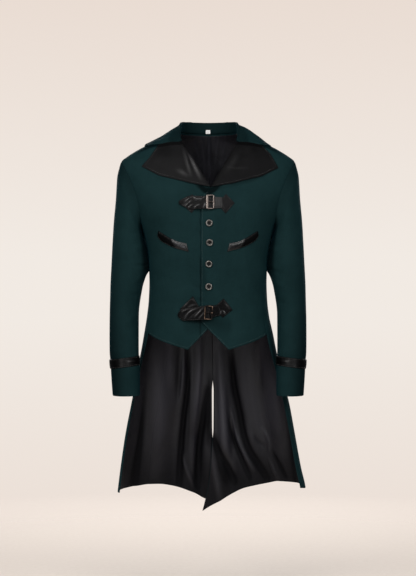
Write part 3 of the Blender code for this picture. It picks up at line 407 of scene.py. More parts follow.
# Outside of the back above the waist, as x and height
BACK_CREASES = (
    (((-0.150, -0.130), (-0.135, -0.200), (-0.140, -0.270)), 13, -2.0),
    (((0.152, -0.126), (0.138, -0.205), (0.143, -0.280)), 14, -2.2),
    (((-0.120, -0.150), (-0.100, -0.230), (-0.095, -0.310)), 16, 1.6),
    (((0.118, -0.155), (0.098, -0.225), (0.096, -0.300)), 15, 1.5),
    (((-0.012, -0.385), (-0.050, -0.372), (-0.098, -0.385)), 9, -1.6),
    (((0.012, -0.402), (0.055, -0.388), (0.104, -0.394)), 10, -1.8),
    (((-0.018, -0.425), (-0.062, -0.412), (-0.112, -0.430)), 9, 1.4),
    (((0.016, -0.440), (0.060, -0.430), (0.108, -0.446)), 9, 1.2),
    (((-0.030, -0.060), (-0.060, -0.055), (-0.100, -0.072)), 12, -1.2),
    (((0.026, -0.066), (0.064, -0.058), (0.108, -0.078)), 12, -1.3),
    (((-0.030, -0.470), (-0.070, -0.480), (-0.110, -0.478)), 10, -1.0),
    (((0.034, -0.485), (0.072, -0.492), (0.114, -0.486)), 10, -1.1),
)
# Inside of the tails, as places in the photo's frame
TAIL_CREASES = (
    (((160, 338), (160, 400), (154, 482)), 20, 4.0),
    (((180, 344), (178.5, 376), (177.5, 406)), 7, -3.4),
    (((184, 345), (183, 376), (179, 404)), 6, 3.6),
    (((189, 346), (188, 382), (184, 416), (181, 450), (179, 484)), 7, -9.0),
    (((200, 340), (199, 374), (193, 428)), 9, 6.0),
    (((206, 388), (203, 420), (199, 448), (197, 486)), 8, -9.0),
    (((181, 450), (185, 464), (193, 488)), 4, 4.0),
    (((193, 430), (192, 456), (191, 478)), 7, 3.5),
    (((147, 380), (142, 430), (132, 494)), 10, -6.5),
    (((219, 342), (222, 400), (226, 446), (233, 470)), 12, 6.0),
    (((230, 346), (234, 385), (239, 410), (243, 432), (249, 449), (258, 463), (267, 477)), 9, -10.0),
    (((231, 408), (237, 434), (243, 450), (254, 470)), 4, 5.0),
    (((229, 420), (235, 442), (241, 456), (250, 476)), 5, -7.5),
    (((213, 436), (219, 452), (227, 466), (235, 482)), 8, -9.0),
    (((211, 450), (215, 474), (221, 502)), 8, 4.5),
    (((246, 342), (252, 396), (262, 440)), 15, 3.0),
    (((259, 344), (260, 362), (261, 386)), 8, -2.5),
    (((270, 344), (275, 400), (283, 452)), 14, 2.5),
    (((254, 433), (259, 441), (266, 445)), 5, -2.5),
    (((262, 427), (268, 438), (270, 451)), 5, 2.5),
    (((272, 449), (278, 460), (286, 475)), 5, -4.5),
    (((268, 455), (273, 466), (280, 480)), 5, 3.0),
    (((284, 388), (289, 436), (297, 484)), 9, -4.0),
)
# Lining below the back of the neck, as places in the photo's frame
NECK_CREASES = (
    (((209, 134), (209, 154), (210, 190)), 4, 4.0),
    (((201, 136), (203, 156), (206, 184)), 4, 2.6),
    (((218, 136), (216, 156), (213, 184)), 4, 2.4),
    (((193, 140), (198, 156), (203, 174)), 4, 2.0),
    (((226, 140), (222, 156), (216, 174)), 4, 1.8),
)
# Sleeves: turn around, place along
SLEEVE_CREASES = {
    -1: (
        (((150, 0.14), (120, 0.20), (95, 0.27)), 10, -2.2),
        (((165, 0.20), (135, 0.27), (112, 0.36)), 10, 1.8),
        (((175, 0.40), (140, 0.46), (100, 0.47)), 8, -2.4),
        (((180, 0.47), (142, 0.52), (112, 0.55)), 8, 2.0),
        (((172, 0.56), (138, 0.60), (92, 0.59)), 8, -2.0),
        (((160, 0.68), (130, 0.70), (95, 0.74)), 9, 1.4),
        (((60, 0.76), (90, 0.80), (130, 0.80)), 7, -1.2),
        (((30, 0.82), (70, 0.845), (120, 0.835)), 6, 1.2),
        (((20, 0.30), (28, 0.45), (18, 0.62)), 13, -1.0),
        (((210, 0.20), (240, 0.26), (262, 0.36)), 10, -1.8),
        (((205, 0.44), (240, 0.50), (280, 0.50)), 9, -2.4),
        (((208, 0.52), (246, 0.57), (290, 0.60)), 9, 2.0),
        (((215, 0.66), (250, 0.70), (285, 0.69)), 9, -1.6),
        (((330, 0.24), (318, 0.38), (322, 0.55)), 13, 1.2),
        (((300, 0.78), (270, 0.82), (235, 0.81)), 8, -1.3),
    ),
    1: (
        (((152, 0.12), (124, 0.19), (98, 0.25)), 11, -2.0),
        (((168, 0.22), (136, 0.30), (118, 0.40)), 9, 1.9),
        (((176, 0.43), (144, 0.49), (104, 0.51)), 8, -2.2),
        (((182, 0.50), (146, 0.545), (108, 0.57)), 8, 1.8),
        (((170, 0.60), (140, 0.63), (98, 0.64)), 8, -1.7),
        (((158, 0.72), (124, 0.75), (90, 0.77)), 9, 1.3),
        (((70, 0.79), (104, 0.83), (150, 0.825)), 6, -1.6),
        (((50, 0.84), (90, 0.855), (130, 0.85)), 5, 1.1),
        (((14, 0.34), (24, 0.48), (12, 0.66)), 14, -1.0),
        (((208, 0.18), (238, 0.24), (266, 0.34)), 11, -1.9),
        (((206, 0.41), (244, 0.48), (284, 0.48)), 9, -2.1),
        (((210, 0.50), (250, 0.55), (292, 0.575)), 9, 2.1),
        (((212, 0.63), (248, 0.67), (280, 0.665)), 9, -1.5),
        (((334, 0.22), (320, 0.36), (326, 0.52)), 12, 1.2),
        (((296, 0.80), (266, 0.835), (232, 0.82)), 8, -1.2),
    ),
}
# Leather bands: turn around, share of the height
BAND_CREASES = (
    (((100, 0.35), (125, 0.50), (150, 0.45)), 3.0, 0.9),
    (((112, 0.72), (138, 0.66), (168, 0.78)), 2.6, -0.8),
    (((128, 0.15), (140, 0.30), (172, 0.25)), 2.6, 0.8),
    (((60, 0.60), (78, 0.52), (96, 0.66)), 3.0, -0.6),
    (((20, 0.30), (44, 0.40), (64, 0.28)), 3.4, 0.5),
    (((196, 0.55), (222, 0.42), (250, 0.56)), 3.2, 0.8),
    (((236, 0.22), (262, 0.32), (284, 0.20)), 3.0, -0.7),
    (((290, 0.62), (312, 0.50), (338, 0.60)), 3.2, 0.6),
)
# Lapels, as places in the photo's frame
LAPEL_CREASES = {
    -1: (
        (((184.0, 148), (187.0, 160), (191.0, 174)), 4.6, 2.1),
        (((189.0, 149), (194.5, 163), (201.5, 178)), 4.4, 2.5),
        (((187.0, 148), (190.5, 160), (196.0, 175)), 3.4, -1.3),
        (((181.5, 168), (185.0, 173), (191.0, 177)), 5.0, 1.3),
        (((182.0, 147), (184.0, 158), (186.5, 168)), 3.6, -0.9),
        (((158.0, 148), (163.0, 158), (168.0, 168)), 9.0, 0.5),
        (((150.0, 158), (158.0, 164), (170.0, 172)), 7.0, -0.5),
    ),
    1: (
        (((236, 148), (231, 160), (222, 174)), 7.0, 0.9),
        (((243, 148), (240, 158), (234, 168)), 6.0, -0.8),
        (((252, 150), (250, 160), (243, 172)), 9.0, 0.6),
        (((229, 160), (222, 172), (214, 182)), 4.0, -0.7),
        (((226, 167), (236, 168), (249, 168)), 3.4, 0.8),
    ),
}
# Where the lapels are rubbed bare and keep a painted highlight, lighter and glossier, 1 for bare
LAPEL_WEAR_AND_PAINTED_HIGHLIGHT = {
    -1: (
        (((183.5, 149), (187, 162), (191, 176)), 4.5, 0.50),
        (((187.5, 149), (193.5, 164), (200.5, 179)), 4.4, 0.85),
        (((177, 170), (182, 172.5), (188, 176)), 6.0, 0.45),
    ),
    1: (
        (((238, 152), (233, 162), (226, 172)), 7.0, 0.14),
        (((226, 167), (236, 168), (248, 168)), 3.0, 0.12),
    ),
}
# How dull the lapels are elsewhere
LAPEL_DULL = {-1: 0.90, 1: 0.98}
# Collar: place along from the front end to the centre back, place across
COLLAR_CREASES = (
    (((0.10, 0.62), (0.16, 0.80), (0.20, 1.00)), 9, 1.2),
    (((0.30, 0.55), (0.36, 0.75), (0.36, 1.00)), 11, -1.2),
    (((0.56, 0.60), (0.60, 0.80), (0.57, 1.00)), 12, 1.3),
    (((0.80, 0.58), (0.84, 0.80), (0.86, 1.00)), 12, -1.2),
    (((0.20, 0.08), (0.26, 0.20), (0.30, 0.34)), 7, -0.7),
    (((0.66, 0.06), (0.70, 0.18), (0.72, 0.34)), 8, 0.7),
)
# Straps, as places in the photo's frame
STRAP_CREASES = {
    ("chest", -1): (
        (((183.2, 207.6), (187.0, 204.6), (191.2, 201.0)), 2.3, 2.0),
        (((185.6, 201.8), (188.5, 199.0), (192.5, 196.8)), 2.0, 1.5),
        (((193.6, 196.4), (196.8, 199.4), (200.6, 199.6)), 3.0, 2.2),
        (((200.0, 200.4), (202.4, 198.6), (204.8, 196.4)), 1.7, 1.3),
        (((194.0, 209.0), (196.0, 206.6), (199.5, 204.8)), 2.0, 1.7),
        (((203.4, 208.8), (204.6, 205.8), (205.6, 202.4)), 1.8, 1.6),
        (((187.2, 209.0), (190.0, 206.6), (193.0, 204.6)), 1.8, 1.3),
        (((207.4, 198.6), (211.4, 198.7)), 1.2, 0.8),
        (((207.4, 201.4), (211.4, 201.3)), 1.2, 0.8),
        (((207.4, 204.2), (211.4, 204.2)), 1.2, 0.8),
        (((207.4, 206.8), (211.4, 206.8)), 1.2, 0.8),
    ),
    ("chest", 1): (
        (((216.6, 196.8), (216.4, 202.0), (216.7, 207.4)), 1.0, 0.8),
        (((218.2, 196.8), (218.4, 202.0), (218.1, 207.4)), 1.0, 0.9),
        (((219.9, 196.8), (219.8, 202.0), (220.0, 207.4)), 1.0, 0.8),
        (((221.6, 203.4), (222.3, 205.4), (222.2, 207.4)), 1.3, 1.2),
    ),
    ("waist", -1): (
        (((184.8, 319.4), (188.0, 313.6), (192.5, 310.4), (197.2, 308.6)), 2.2, 1.6),
        (((194.6, 317.2), (198.6, 313.2), (203.4, 308.0)), 2.0, 1.7),
        (((179.4, 315.4), (182.6, 311.8), (187.6, 309.2)), 2.2, 1.6),
        (((188.4, 319.2), (192.4, 314.6), (198.0, 310.4)), 2.0, -1.5),
        (((181.6, 318.6), (185.0, 313.6), (189.4, 310.4)), 2.0, -1.4),
        (((199.0, 319.0), (201.6, 315.6), (204.6, 312.4)), 1.9, 1.1),
        (((197.0, 318.8), (200.2, 315.0), (204.0, 311.0)), 1.8, -1.1),
    ),
    ("waist", 1): (
        (((218.6, 316.6), (220.4, 313.4), (221.6, 310.4)), 1.5, 1.1),
        (((221.0, 317.0), (223.0, 314.4), (224.4, 312.0)), 1.3, 1.0),
        (((213.6, 308.0), (215.2, 312.0), (214.6, 317.0)), 1.6, -1.0),
    ),
}
# How dull and dark straps and patches are between their rubbed folds, which keep a painted highlight,
# and how high a fold is where it is rubbed bare: on the straps, and on the patches and bands
STRAP_DULL = {("chest", -1): 0.80, ("chest", 1): 0.45, ("waist", -1): 0.90, ("waist", 1): 0.95}
PATCH_DULL = {"chest": 0.35, "waist": 0.93}
STRAP_CREST = {"chest": 0.0011, "waist": 0.0015}
WEAR_AND_PAINTED_HIGHLIGHT_HEIGHT = 0.0006
# Patches, as places in the photo's frame
PATCH_CREASES = {
    ("chest", -1): (
        (((183.0, 203.5), (190.0, 205.5), (197.0, 204.0)), 2.4, 0.5),
        (((188.0, 196.0), (191.5, 193.6), (195.0, 195.0)), 2.0, 0.6),
    ),
    ("chest", 1): (
        (((221.6, 200.0), (222.2, 204.5), (224.2, 209.4)), 1.8, 0.8),
        (((226.0, 198.0), (229.0, 202.0), (231.0, 205.0)), 3.0, -0.4),
    ),
    ("waist", -1): (
        (((183.6, 307.0), (185.6, 304.8), (188.0, 302.6)), 1.8, 0.4),
        (((191.6, 299.4), (193.0, 299.8), (194.6, 302.0)), 1.4, 0.4),
        (((188.0, 308.0), (192.0, 305.4), (196.0, 304.4)), 2.4, 0.4),
    ),
    ("waist", 1): (
        (((218.6, 310.0), (220.6, 312.4), (220.8, 315.0)), 1.9, 0.9),
        (((221.8, 310.8), (223.8, 312.0), (225.6, 314.8)), 1.8, 0.8),
        (((224.0, 303.0), (227.0, 306.0), (229.0, 309.0)), 2.6, 0.3),
    ),
}

# Shade down the closing edge: size, spread, how far it is set out on the front underneath
EDGE_SHADE = (0.0019, 0.0016, 0.0010)
# Shade on the linings towards the hem: size, height where it sets in, reach
HEM_SHADE = (0.0044, -0.79, 0.19)
# Shade on the sleeves: all over, at the head, on the inner side, towards the cuff, in the folds
EVEN_SHADE = 0.0006
HEAD_SHADE = 0.0019
INNER_SHADE = 0.0013
CUFF_SHADE = 0.0029
FOLD_SHADE = 0.0040
# Shade on the collar: all over, on stand and fold, down the front of the fall, along its edge
COLLAR_SHADES = (0.0013, 0.0012, 0.0012, 0.0010)
# Shade on the outer side of the leather bands, and on the lapels beside the gorge
BAND_SHADE = 0.0013
GORGE_SHADE = 0.0015

# Stitches: size, distances from the edges, and the rings of one as place, radius and lift
STITCH_LENGTH = 0.0026
STITCH_PITCH = 0.0034
STITCH_RADIUS = 0.00026
STITCH_END = 0.005
CLOTH_STITCH = 0.0046
LAPEL_STITCH = 0.0044
BAND_STITCH = 0.0022
LAID_STITCH = 0.0020
LEATHER_GROOVE = 0.0021
CLOSING_STITCH_TOP = -0.146
STITCH_SIDES = 6
STITCH_RINGS = (
    (-0.5, 0.25, -0.7), (-0.32, 0.9, 0.1), (0.0, 1.0, 0.35), (0.32, 0.9, 0.1), (0.5, 0.25, -0.7),
)

FLOOR_HEIGHT = -1.32
FLOOR_RADIUS = 2.7
# Lights: name, place, target, size, energy, colour
LIGHTS = (
    ("key", (-1.45, -2.1, 0.70), (0, 0, -0.32), 1.2, 52, (1.0, 0.98, 0.96)),
    ("fill", (1.45, -2.1, 0.55), (0, 0, -0.32), 1.3, 44, (0.99, 0.985, 0.98)),
    ("top", (-0.1, -2.3, 2.0), (0, 0, -0.35), 1.3, 36, (1.0, 0.99, 0.98)),
    ("low", (-0.9, -3.6, -1.1), (0, 0, -0.7), 1.2, 22, (0.94, 0.95, 1.0)),
    ("back_left", (-0.7, 3.3, 0.7), (0, 0, -0.5), 1.8, 84, (1, 1, 1)),
    ("back_right", (0.9, 3.2, 0.4), (0, 0, -0.5), 1.8, 56, (1, 1, 1)),
)


def curve(knots, values, at):
    """Read a table at any place with a smooth curve that never overshoots."""
    knots, values = np.asarray(knots, float), np.asarray(values, float)
    at = np.clip(np.asarray(at, float), knots[0], knots[-1])
    width, slope = np.diff(knots), np.diff(values) / np.diff(knots)
    tangent = np.concatenate(([slope[0]], np.zeros(len(knots) - 2), [slope[-1]]))
    for i in range(1, len(knots) - 1):
        if slope[i - 1] * slope[i] > 0:
            after, before = 2 * width[i] + width[i - 1], width[i] + 2 * width[i - 1]
            tangent[i] = (after + before) / (after / slope[i - 1] + before / slope[i])
    i = np.clip(np.searchsorted(knots, at, side="right") - 1, 0, len(width) - 1)
    t, h = (at - knots[i]) / width[i], width[i]
    return (
        values[i] * (1 + 2 * t) * (1 - t) ** 2
        + h * tangent[i] * t * (1 - t) ** 2
        + values[i + 1] * t * t * (3 - 2 * t)
        + h * tangent[i + 1] * t * t * (t - 1)
    )


def column(table, number, at):
    """Read one column of a table whose first column is the place."""
    return curve([row[0] for row in table], [row[number] for row in table], at)


def ease(t):
    """Go from 0 to 1 with a soft start and end."""
    t = np.clip(t, 0.0, 1.0)
    return t * t * (3.0 - 2.0 * t)


def bell(value, middle, spread):
    """Go from 0 up to 1 at the middle and back to 0."""
    return np.exp(-(((value - middle) / spread) ** 2))


def share_of(value, full):
    """Give a value as a share of the full one, from 0 to 1."""
    return np.clip(value / full, 0, 1)


def inner_share(turn):
    """Go from 0 at turn 0, outside or above, to 1 at the opposite side."""
    return (1 - np.cos(np.radians(turn))) / 2


def word(side):
    """Name of a side as the wearer has it."""
    return "right" if side < 0 else "left"


def by_side(turn, right, left):
    """Choose the value of the wearer's right or left side."""
    return np.where(np.asarray(turn) > 0, left, right)


def torso(height, turn):
    """Give the outer face of the coat at a height and a turn from centre front."""
    height, turn = np.broadcast_arrays(np.asarray(height, float), np.asarray(turn, float))
    half = by_side(turn, column(SECTIONS, 1, height), column(SECTIONS, 2, height))
    power = 2.0 / column(SECTIONS, 5, height)
    angle = np.radians(np.abs(turn))
    front = np.abs(turn) < 90
    depth = np.where(front, -column(SECTIONS, 3, height), column(SECTIONS, 4, height))
    across = np.sign(turn) * np.clip(np.sin(angle), 0.0, 1.0) ** power
    x, y = half * across, depth * np.abs(np.cos(angle)) ** power
    centre = ease((np.abs(turn) - CENTRE_TURNS[0]) / (CENTRE_TURNS[1] - CENTRE_TURNS[0]))
    x = x + centre * by_side(turn, column(CENTRE_BACK, 1, height), column(CENTRE_BACK, 2, height))
    y = y + centre * by_side(turn, column(CENTRE_BACK, 3, height), column(CENTRE_BACK, 4, height))
    reach = ease((FOLD_HEIGHTS[0] - height) / (FOLD_HEIGHTS[0] - FOLD_HEIGHTS[1]))
    reach = reach * ease((np.abs(turn) - FOLD_TURNS[0]) / (FOLD_TURNS[1] - FOLD_TURNS[0]))
    for place, spread, size in TAIL_FOLDS:
        y = y - reach * size * bell(across, place, spread)
    return np.stack([x, y, height], -1)


def outward(height, turn):
    """Give the direction that points out of the cloth."""
    height, turn = np.broadcast_arrays(np.asarray(height, float), np.asarray(turn, float))
    low, high = np.clip(turn - 0.6, -180, 180), np.clip(turn + 0.6, -180, 180)
    along = torso(height, high) - torso(height, low)
    up = torso(height + 0.001, turn) - torso(height - 0.001, turn)
    normal = np.cross(along, up)
    return normal / np.linalg.norm(normal, axis=-1, keepdims=True)


def turn_at(x, height):
    """Find the turn of the front surface at a place across."""
    x, height = np.broadcast_arrays(np.asarray(x, float), np.asarray(height, float))
    half, power = column(SECTIONS, 1, height), column(SECTIONS, 5, height)
    return np.sign(x) * np.degrees(np.arcsin(np.clip(np.abs(x) / half, 0, 1) ** (power / 2)))


def armhole(turn):
    """Give height and body turn of the armhole edge, from the shoulder over the front."""
    turn = np.asarray(turn, float)
    drop = inner_share(turn)
    height = SHOULDER_POINT[1] + drop * (UNDERARM_POINT[1] - SHOULDER_POINT[1])
    x = SHOULDER_POINT[0] + drop * (UNDERARM_POINT[0] - SHOULDER_POINT[0])
    x = x - ARMHOLE_SCOOP * np.sin(np.pi * drop)
    ratio = np.clip(x / column(SECTIONS, 1, height), 0.0, 1.0)
    body = np.degrees(np.arcsin(ratio ** (column(SECTIONS, 5, height) / 2)))
    return height, np.where(turn % 360 <= 180, body, 180 - body)


def lengths_of(line):
    """Distances of a line's points from its start."""
    return np.concatenate(([0], np.cumsum(np.linalg.norm(np.diff(line, axis=0), axis=1))))


def read_line(line, ways, at):
    """Read a line of points at distances from its start."""
    return np.stack([np.interp(at, ways, values) for values in line.T], -1)


def read_curve(line, ways, at):
    """Read a smooth curve through points at distances from its start."""
    return np.stack([curve(ways, values, at) for values in line.T], -1)


def spaced(points, steps, read=read_line):
    """Divide a line of points into even steps."""
    points = np.asarray(points, float)
    ways = lengths_of(points)
    return read(points, ways, np.linspace(0, ways[-1], steps + 1))


def smoothed(points, steps):
    """Divide a smooth curve through a few points into even steps."""
    return spaced(points, steps, read_curve)


def joined(*parts):
    """Join lines of points that share their end points."""
    return np.vstack([part if i == 0 else part[1:] for i, part in enumerate(parts)])


def rows_of(line, share):
    """Read a line of points at shares of its number of steps."""
    return read_line(line, np.arange(len(line)), np.asarray(share) * (len(line) - 1))


def shares(steps, length, low=True, high=True):
    """Even steps from 0 to 1, with close ones beside the low and the high end."""
    even, close = np.linspace(0, 1, steps + 1), np.array(RIM_ROWS) / length
    clear = (even > close[-1] * 1.2) & (even < 1 - close[-1] * 1.2)
    even = even[(even == 0) | (even == 1) | clear]
    return np.unique(np.concatenate([even] + [close] * low + [1 - close] * high))


def filled(left, right, bottom, top, v, u):
    """Fill four edges with a grid at the shares v up and u across."""
    left, right = rows_of(left, v), rows_of(right, v)
    bottom, top = rows_of(bottom, u), rows_of(top, u)
    v, u = v[:, None, None], u[None, :, None]
    sides = (1 - u) * left[:, None] + u * right[:, None]
    ends = (1 - v) * bottom[None] + v * top[None]
    low = (1 - u) * bottom[0] + u * bottom[-1]
    high = (1 - u) * top[0] + u * top[-1]
    return sides + ends - ((1 - v) * low + v * high)


def unit(vectors):
    """Directions of vectors."""
    return vectors / np.maximum(np.linalg.norm(vectors, axis=-1, keepdims=True), 1e-12)


def grid_normals(grid):
    """Directions square to a grid of points."""
    return unit(np.cross(np.gradient(grid, axis=0), np.gradient(grid, axis=1)))


def looped(grid):
    """Close a grid of rings with its first column."""
    return np.concatenate([grid, grid[:, :1]], 1)


def edge_ways(points):
    """Distances of a grid's points from its left, right, bottom and top edge."""
    across = np.linalg.norm(np.diff(points, axis=1), axis=-1)
    up = np.linalg.norm(np.diff(points, axis=0), axis=-1)
    left = np.pad(np.cumsum(across, axis=1), ((0, 0), (1, 0)))
    bottom = np.pad(np.cumsum(up, axis=0), ((1, 0), (0, 0)))
    return {"left": left, "right": left[:, -1:] - left, "bottom": bottom, "top": bottom[-1:] - bottom}


def creased(across, up, creases, scale=(1.0, 1.0)):
    """Add up soft ridges and troughs, each along its own curved line."""
    total = np.zeros(np.shape(across))
    places = np.stack([across * scale[0], up * scale[1]], -1)
    for line, width, depth in creases:
        path = smoothed(np.array(line) * scale, 14)
        start, step = path[:-1], np.diff(path, axis=0)
        offset = places[..., None, :] - start
        share = np.clip((offset * step).sum(-1) / (step * step).sum(-1), 0, 1)
        away = np.linalg.norm(offset - share[..., None] * step, axis=-1)
        nearest = away.argmin(-1)
        along = (nearest + np.take_along_axis(share, nearest[..., None], -1)[..., 0]) / len(step)
        away = away.min(-1) / (width * 0.001)
        total += depth * 0.001 * np.exp(-away**2) * np.sin(np.pi * (0.06 + 0.88 * along)) ** 0.8
    return total


def seen(creases, depth):
    """Turn places in the photo's frame into x and height at a depth."""
    size = METRES_A_PIXEL * (CAMERA_DISTANCE + depth) / CAMERA_DISTANCE
    middle, level = PHOTO_SIZE[0] / 2, PHOTO_SIZE[1] / 2
    return tuple(
        (tuple(((px - middle) * size, CAMERA_HEIGHT + (level - py) * size) for px, py in line), width, height)
        for line, width, height in creases
    )


def edge_loops(rows, columns, wrap):
    """Numbers of the points along a grid's edge and of those one step inside it."""
    count = rows * columns
    if wrap:
        ring = np.arange(columns)
        return [(ring, ring + columns), (ring + count - columns, ring + count - 2 * columns)]
    bottom, row = np.arange(columns), np.arange(rows) * columns
    right, top, left = row[1:] + columns - 1, count - 2 - bottom[:-1], row[1:-1][::-1]
    edge = np.concatenate([bottom, right, top, left])
    return [(edge, np.concatenate([bottom + columns, right - 1, top - columns, left + 1]))]


def area_of(points, face):
    """Area of faces with four corners, as two triangles each."""
    first = points[face[:, 0]]
    halves = (np.cross(points[face[:, k]] - first, points[face[:, k + 1]] - first) for k in (1, 2))
    return sum(float(np.linalg.norm(half, axis=-1).sum() / 2) for half in halves)


def valued(mesh, key, values):
    """Give each point of a mesh a value that its material reads."""
    values = values.astype(np.float32)
    mesh.attributes.new(key, "FLOAT", "POINT").data.foreach_set("value", values)


def faced_out(mesh):
    """Turn the faces of a closed mesh outwards."""
    body = bmesh.new()
    body.from_mesh(mesh)
    bmesh.ops.recalc_face_normals(body, faces=body.faces)
    body.to_mesh(mesh)
    body.free()


def linked(name, data):
    """Put an object in the scene."""
    made = bpy.data.objects.new(name, data)
    bpy.context.scene.collection.objects.link(made)
    return made


def shell(name, outer, inner, material, nodes, wrap=False, free=EDGES,
          painted_shading=None, mark=None):
    rows, columns = outer.shape[:2]
    count = rows * columns
    ways = edge_ways(looped(outer) if wrap else outer)
    points = [outer.reshape(-1, 3), inner.reshape(-1, 3)]
    i, j = np.meshgrid(np.arange(rows - 1), np.arange(columns if wrap else columns - 1), indexing="ij")
    corner = [(i, j), (i, j + 1), (i + 1, j + 1), (i + 1, j)]
    face = np.stack([(a * columns + b % columns).ravel() for a, b in corner], -1)
    place = np.stack([ways["left"], ways["bottom"]], -1)
    spot = np.stack([place[a, b].reshape(-1, 2) for a, b in corner], 1)
    faces, spots = [face, face[:, ::-1] + count], [spot, spot[:, ::-1]]
    loops = edge_loops(rows, columns, wrap)
    for edge, inside in loops:
        top, floor = points[0][edge], points[1][edge]
        away, up = unit(top - points[0][inside]), unit(top - floor)
        away = unit(away - up * (away * up).sum(-1, keepdims=True))
        wall = np.linalg.norm(top - floor, axis=-1, keepdims=True)
        first = sum(len(p) for p in points)
        points.append((top + floor) / 2 + away * wall * 0.38)
        k, n = np.arange(len(edge)), (np.arange(len(edge)) + 1) % len(edge)
        here = place[edge // columns, edge % columns]
        for upper, lower in ((edge, k + first), (k + first, edge + count)):
            faces.append(np.stack([upper[k], upper[n], lower[n], lower[k]], -1))
            spots.append(np.stack([here[k], here[n], here[n] + 0.001, here[k] + 0.001], 1))
    points, faces, spots = np.concatenate(points), np.concatenate(faces), np.concatenate(spots)
    mesh = bpy.data.meshes.new(name)
    mesh.from_pydata(points, [], faces.tolist())
    layer = mesh.uv_layers.new(name="cloth")
    layer.uv.foreach_set("vector", spots.reshape(-1, 2).astype(np.float32).ravel())
    free = [side for side in free if not (wrap and side in ("left", "right"))]
    rim = np.full((rows, columns), 1.0)
    if free:
        rim = np.min([ways[side][:, :columns] for side in free], axis=0)
    valued(mesh, "rim", np.concatenate([rim.ravel(), rim.ravel(), np.zeros(len(points) - 2 * count)]))
    rims = np.concatenate([edge for edge, inside in loops])
    for key, values in (("painted_shading", painted_shading), ("mark", mark)):
        if values is not None:
            values = values.ravel()
            valued(mesh, key, np.concatenate([values, values, values[rims]]))
    faced_out(mesh)
    piece = placed(name, mesh, material, nodes)
    flat = (round(float(ways["left"][:, -1].max()), 3), round(float(ways["bottom"][-1].max()), 3))
    area = min(area_of(points, face), flat[0] * flat[1])
    return piece


def placed(name, mesh, material, nodes):
    """Link a piece, ride it on the coat and hide the nodes that it stands for."""
    mesh.materials.append(material)
    mesh.shade_smooth()
    piece = linked(name, mesh)
    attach(piece, "root")
    if nodes:
        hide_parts(*nodes)
    return piece


def line_in(points, normals, edge, distance):
    """Line at a distance inside one edge of a grid, with the directions out of the cloth."""
    if edge in ("left", "right"):
        points, normals = points.transpose(1, 0, 2), normals.transpose(1, 0, 2)
    if edge in ("right", "top"):
        points, normals = points[::-1], normals[::-1]
    place, out = [], []
    for k in range(points.shape[1]):
        ways = lengths_of(points[:, k])
        place.append(read_line(points[:, k], ways, distance))
        out.append(read_line(normals[:, k], ways, distance))
    return np.array(place), unit(np.array(out))


def stitched(name, lines, material):
    """Sew short threads along lines that lie on the cloth."""
    sides = STITCH_SIDES
    angle = np.arange(sides) * 2 * np.pi / sides
    points, faces = [], []
    for line, out in lines:
        ways = lengths_of(line)
        number = int((ways[-1] - STITCH_PITCH) / STITCH_PITCH)
        for place in STITCH_PITCH * (np.arange(number) + 0.8):
            here, before, after = (
                read_line(line, ways, place + step) for step in (0, -STITCH_LENGTH / 2, STITCH_LENGTH / 2)
            )
            up = unit(read_line(out, ways, place))
            along = unit(after - before)
            across = unit(np.cross(along, up))
            first = len(points) * sides
            for ring, (share, size, lift) in enumerate(STITCH_RINGS):
                centre = here + along * share * STITCH_LENGTH + up * lift * STITCH_RADIUS
                around = np.cos(angle)[:, None] * across + np.sin(angle)[:, None] * up
                points.append(centre + around * STITCH_RADIUS * size)
                if ring:
                    low = first + (ring - 1) * sides
                    for k in range(sides):
                        n = (k + 1) % sides
                        faces.append((low + k, low + n, low + sides + n, low + sides + k))
            faces.append(tuple(first + k for k in range(sides))[::-1])
            faces.append(tuple(first + (len(STITCH_RINGS) - 1) * sides + k for k in range(sides)))
    mesh = bpy.data.meshes.new(name)
    mesh.from_pydata(np.concatenate(points), [], faces)
    return placed(name, mesh, material, ())


# Seams and grids of the body, as in the part, with finer steps


def side_turn(side, height):
    """Turn of the side seam and, lower down, of the front edge of the tail."""
    return side * column(SIDE_SEAM, 1 if side < 0 else 2, height)


def back_turn(side, height):
    """Turn of the seam between side piece and back piece."""
    top_height, top_turn = armhole(BACK_SEAM_TURN)
    table = BACK_SEAM + ((float(top_height), float(top_turn)),)
    return side * column(table, 1, height)


def hem_height(side, turn):
    """Height of the tail hem at a turn."""
    table = np.array(HEM_RIGHT if side < 0 else HEM_LEFT)
    height = np.full(np.shape(turn), -1.0)
    for _ in range(5):
        height = curve(table[:, 0], table[:, 1], torso(height, turn)[..., 0])
    return height


def side_line(side, turn_of, top, waist):
    """Follow a seam from its top to the waist, then to the tail hem."""
    above = np.linspace(top, waist, SEAM_ABOVE_WAIST * FINE + 1)
    foot = hem_height(side, turn_of(side, -1.0))
    below = np.linspace(waist, float(foot), SEAM_BELOW_WAIST * FINE + 1)[1:]
    height = np.concatenate([above, below])
    return np.stack([turn_of(side, height), height], -1)


def armhole_line(side, first, last):
    """Points of the armhole edge between two turns around the armhole."""
    steps = round(abs(last - first) * ARMHOLE_POINTS / 360) * FINE
    height, turn = armhole(np.linspace(first, last, steps + 1))
    return np.stack([side * turn, height], -1)


def on_front(line):
    """Turn a line given as x and height into turn and height."""
    return np.stack([turn_at(line[:, 0], line[:, 1]), line[:, 1]], -1)


def front_corner(side):
    """Turn and height of the place where the front hem meets the side seam."""
    return float(side_turn(side, FRONT_CORNER[side])), FRONT_CORNER[side]


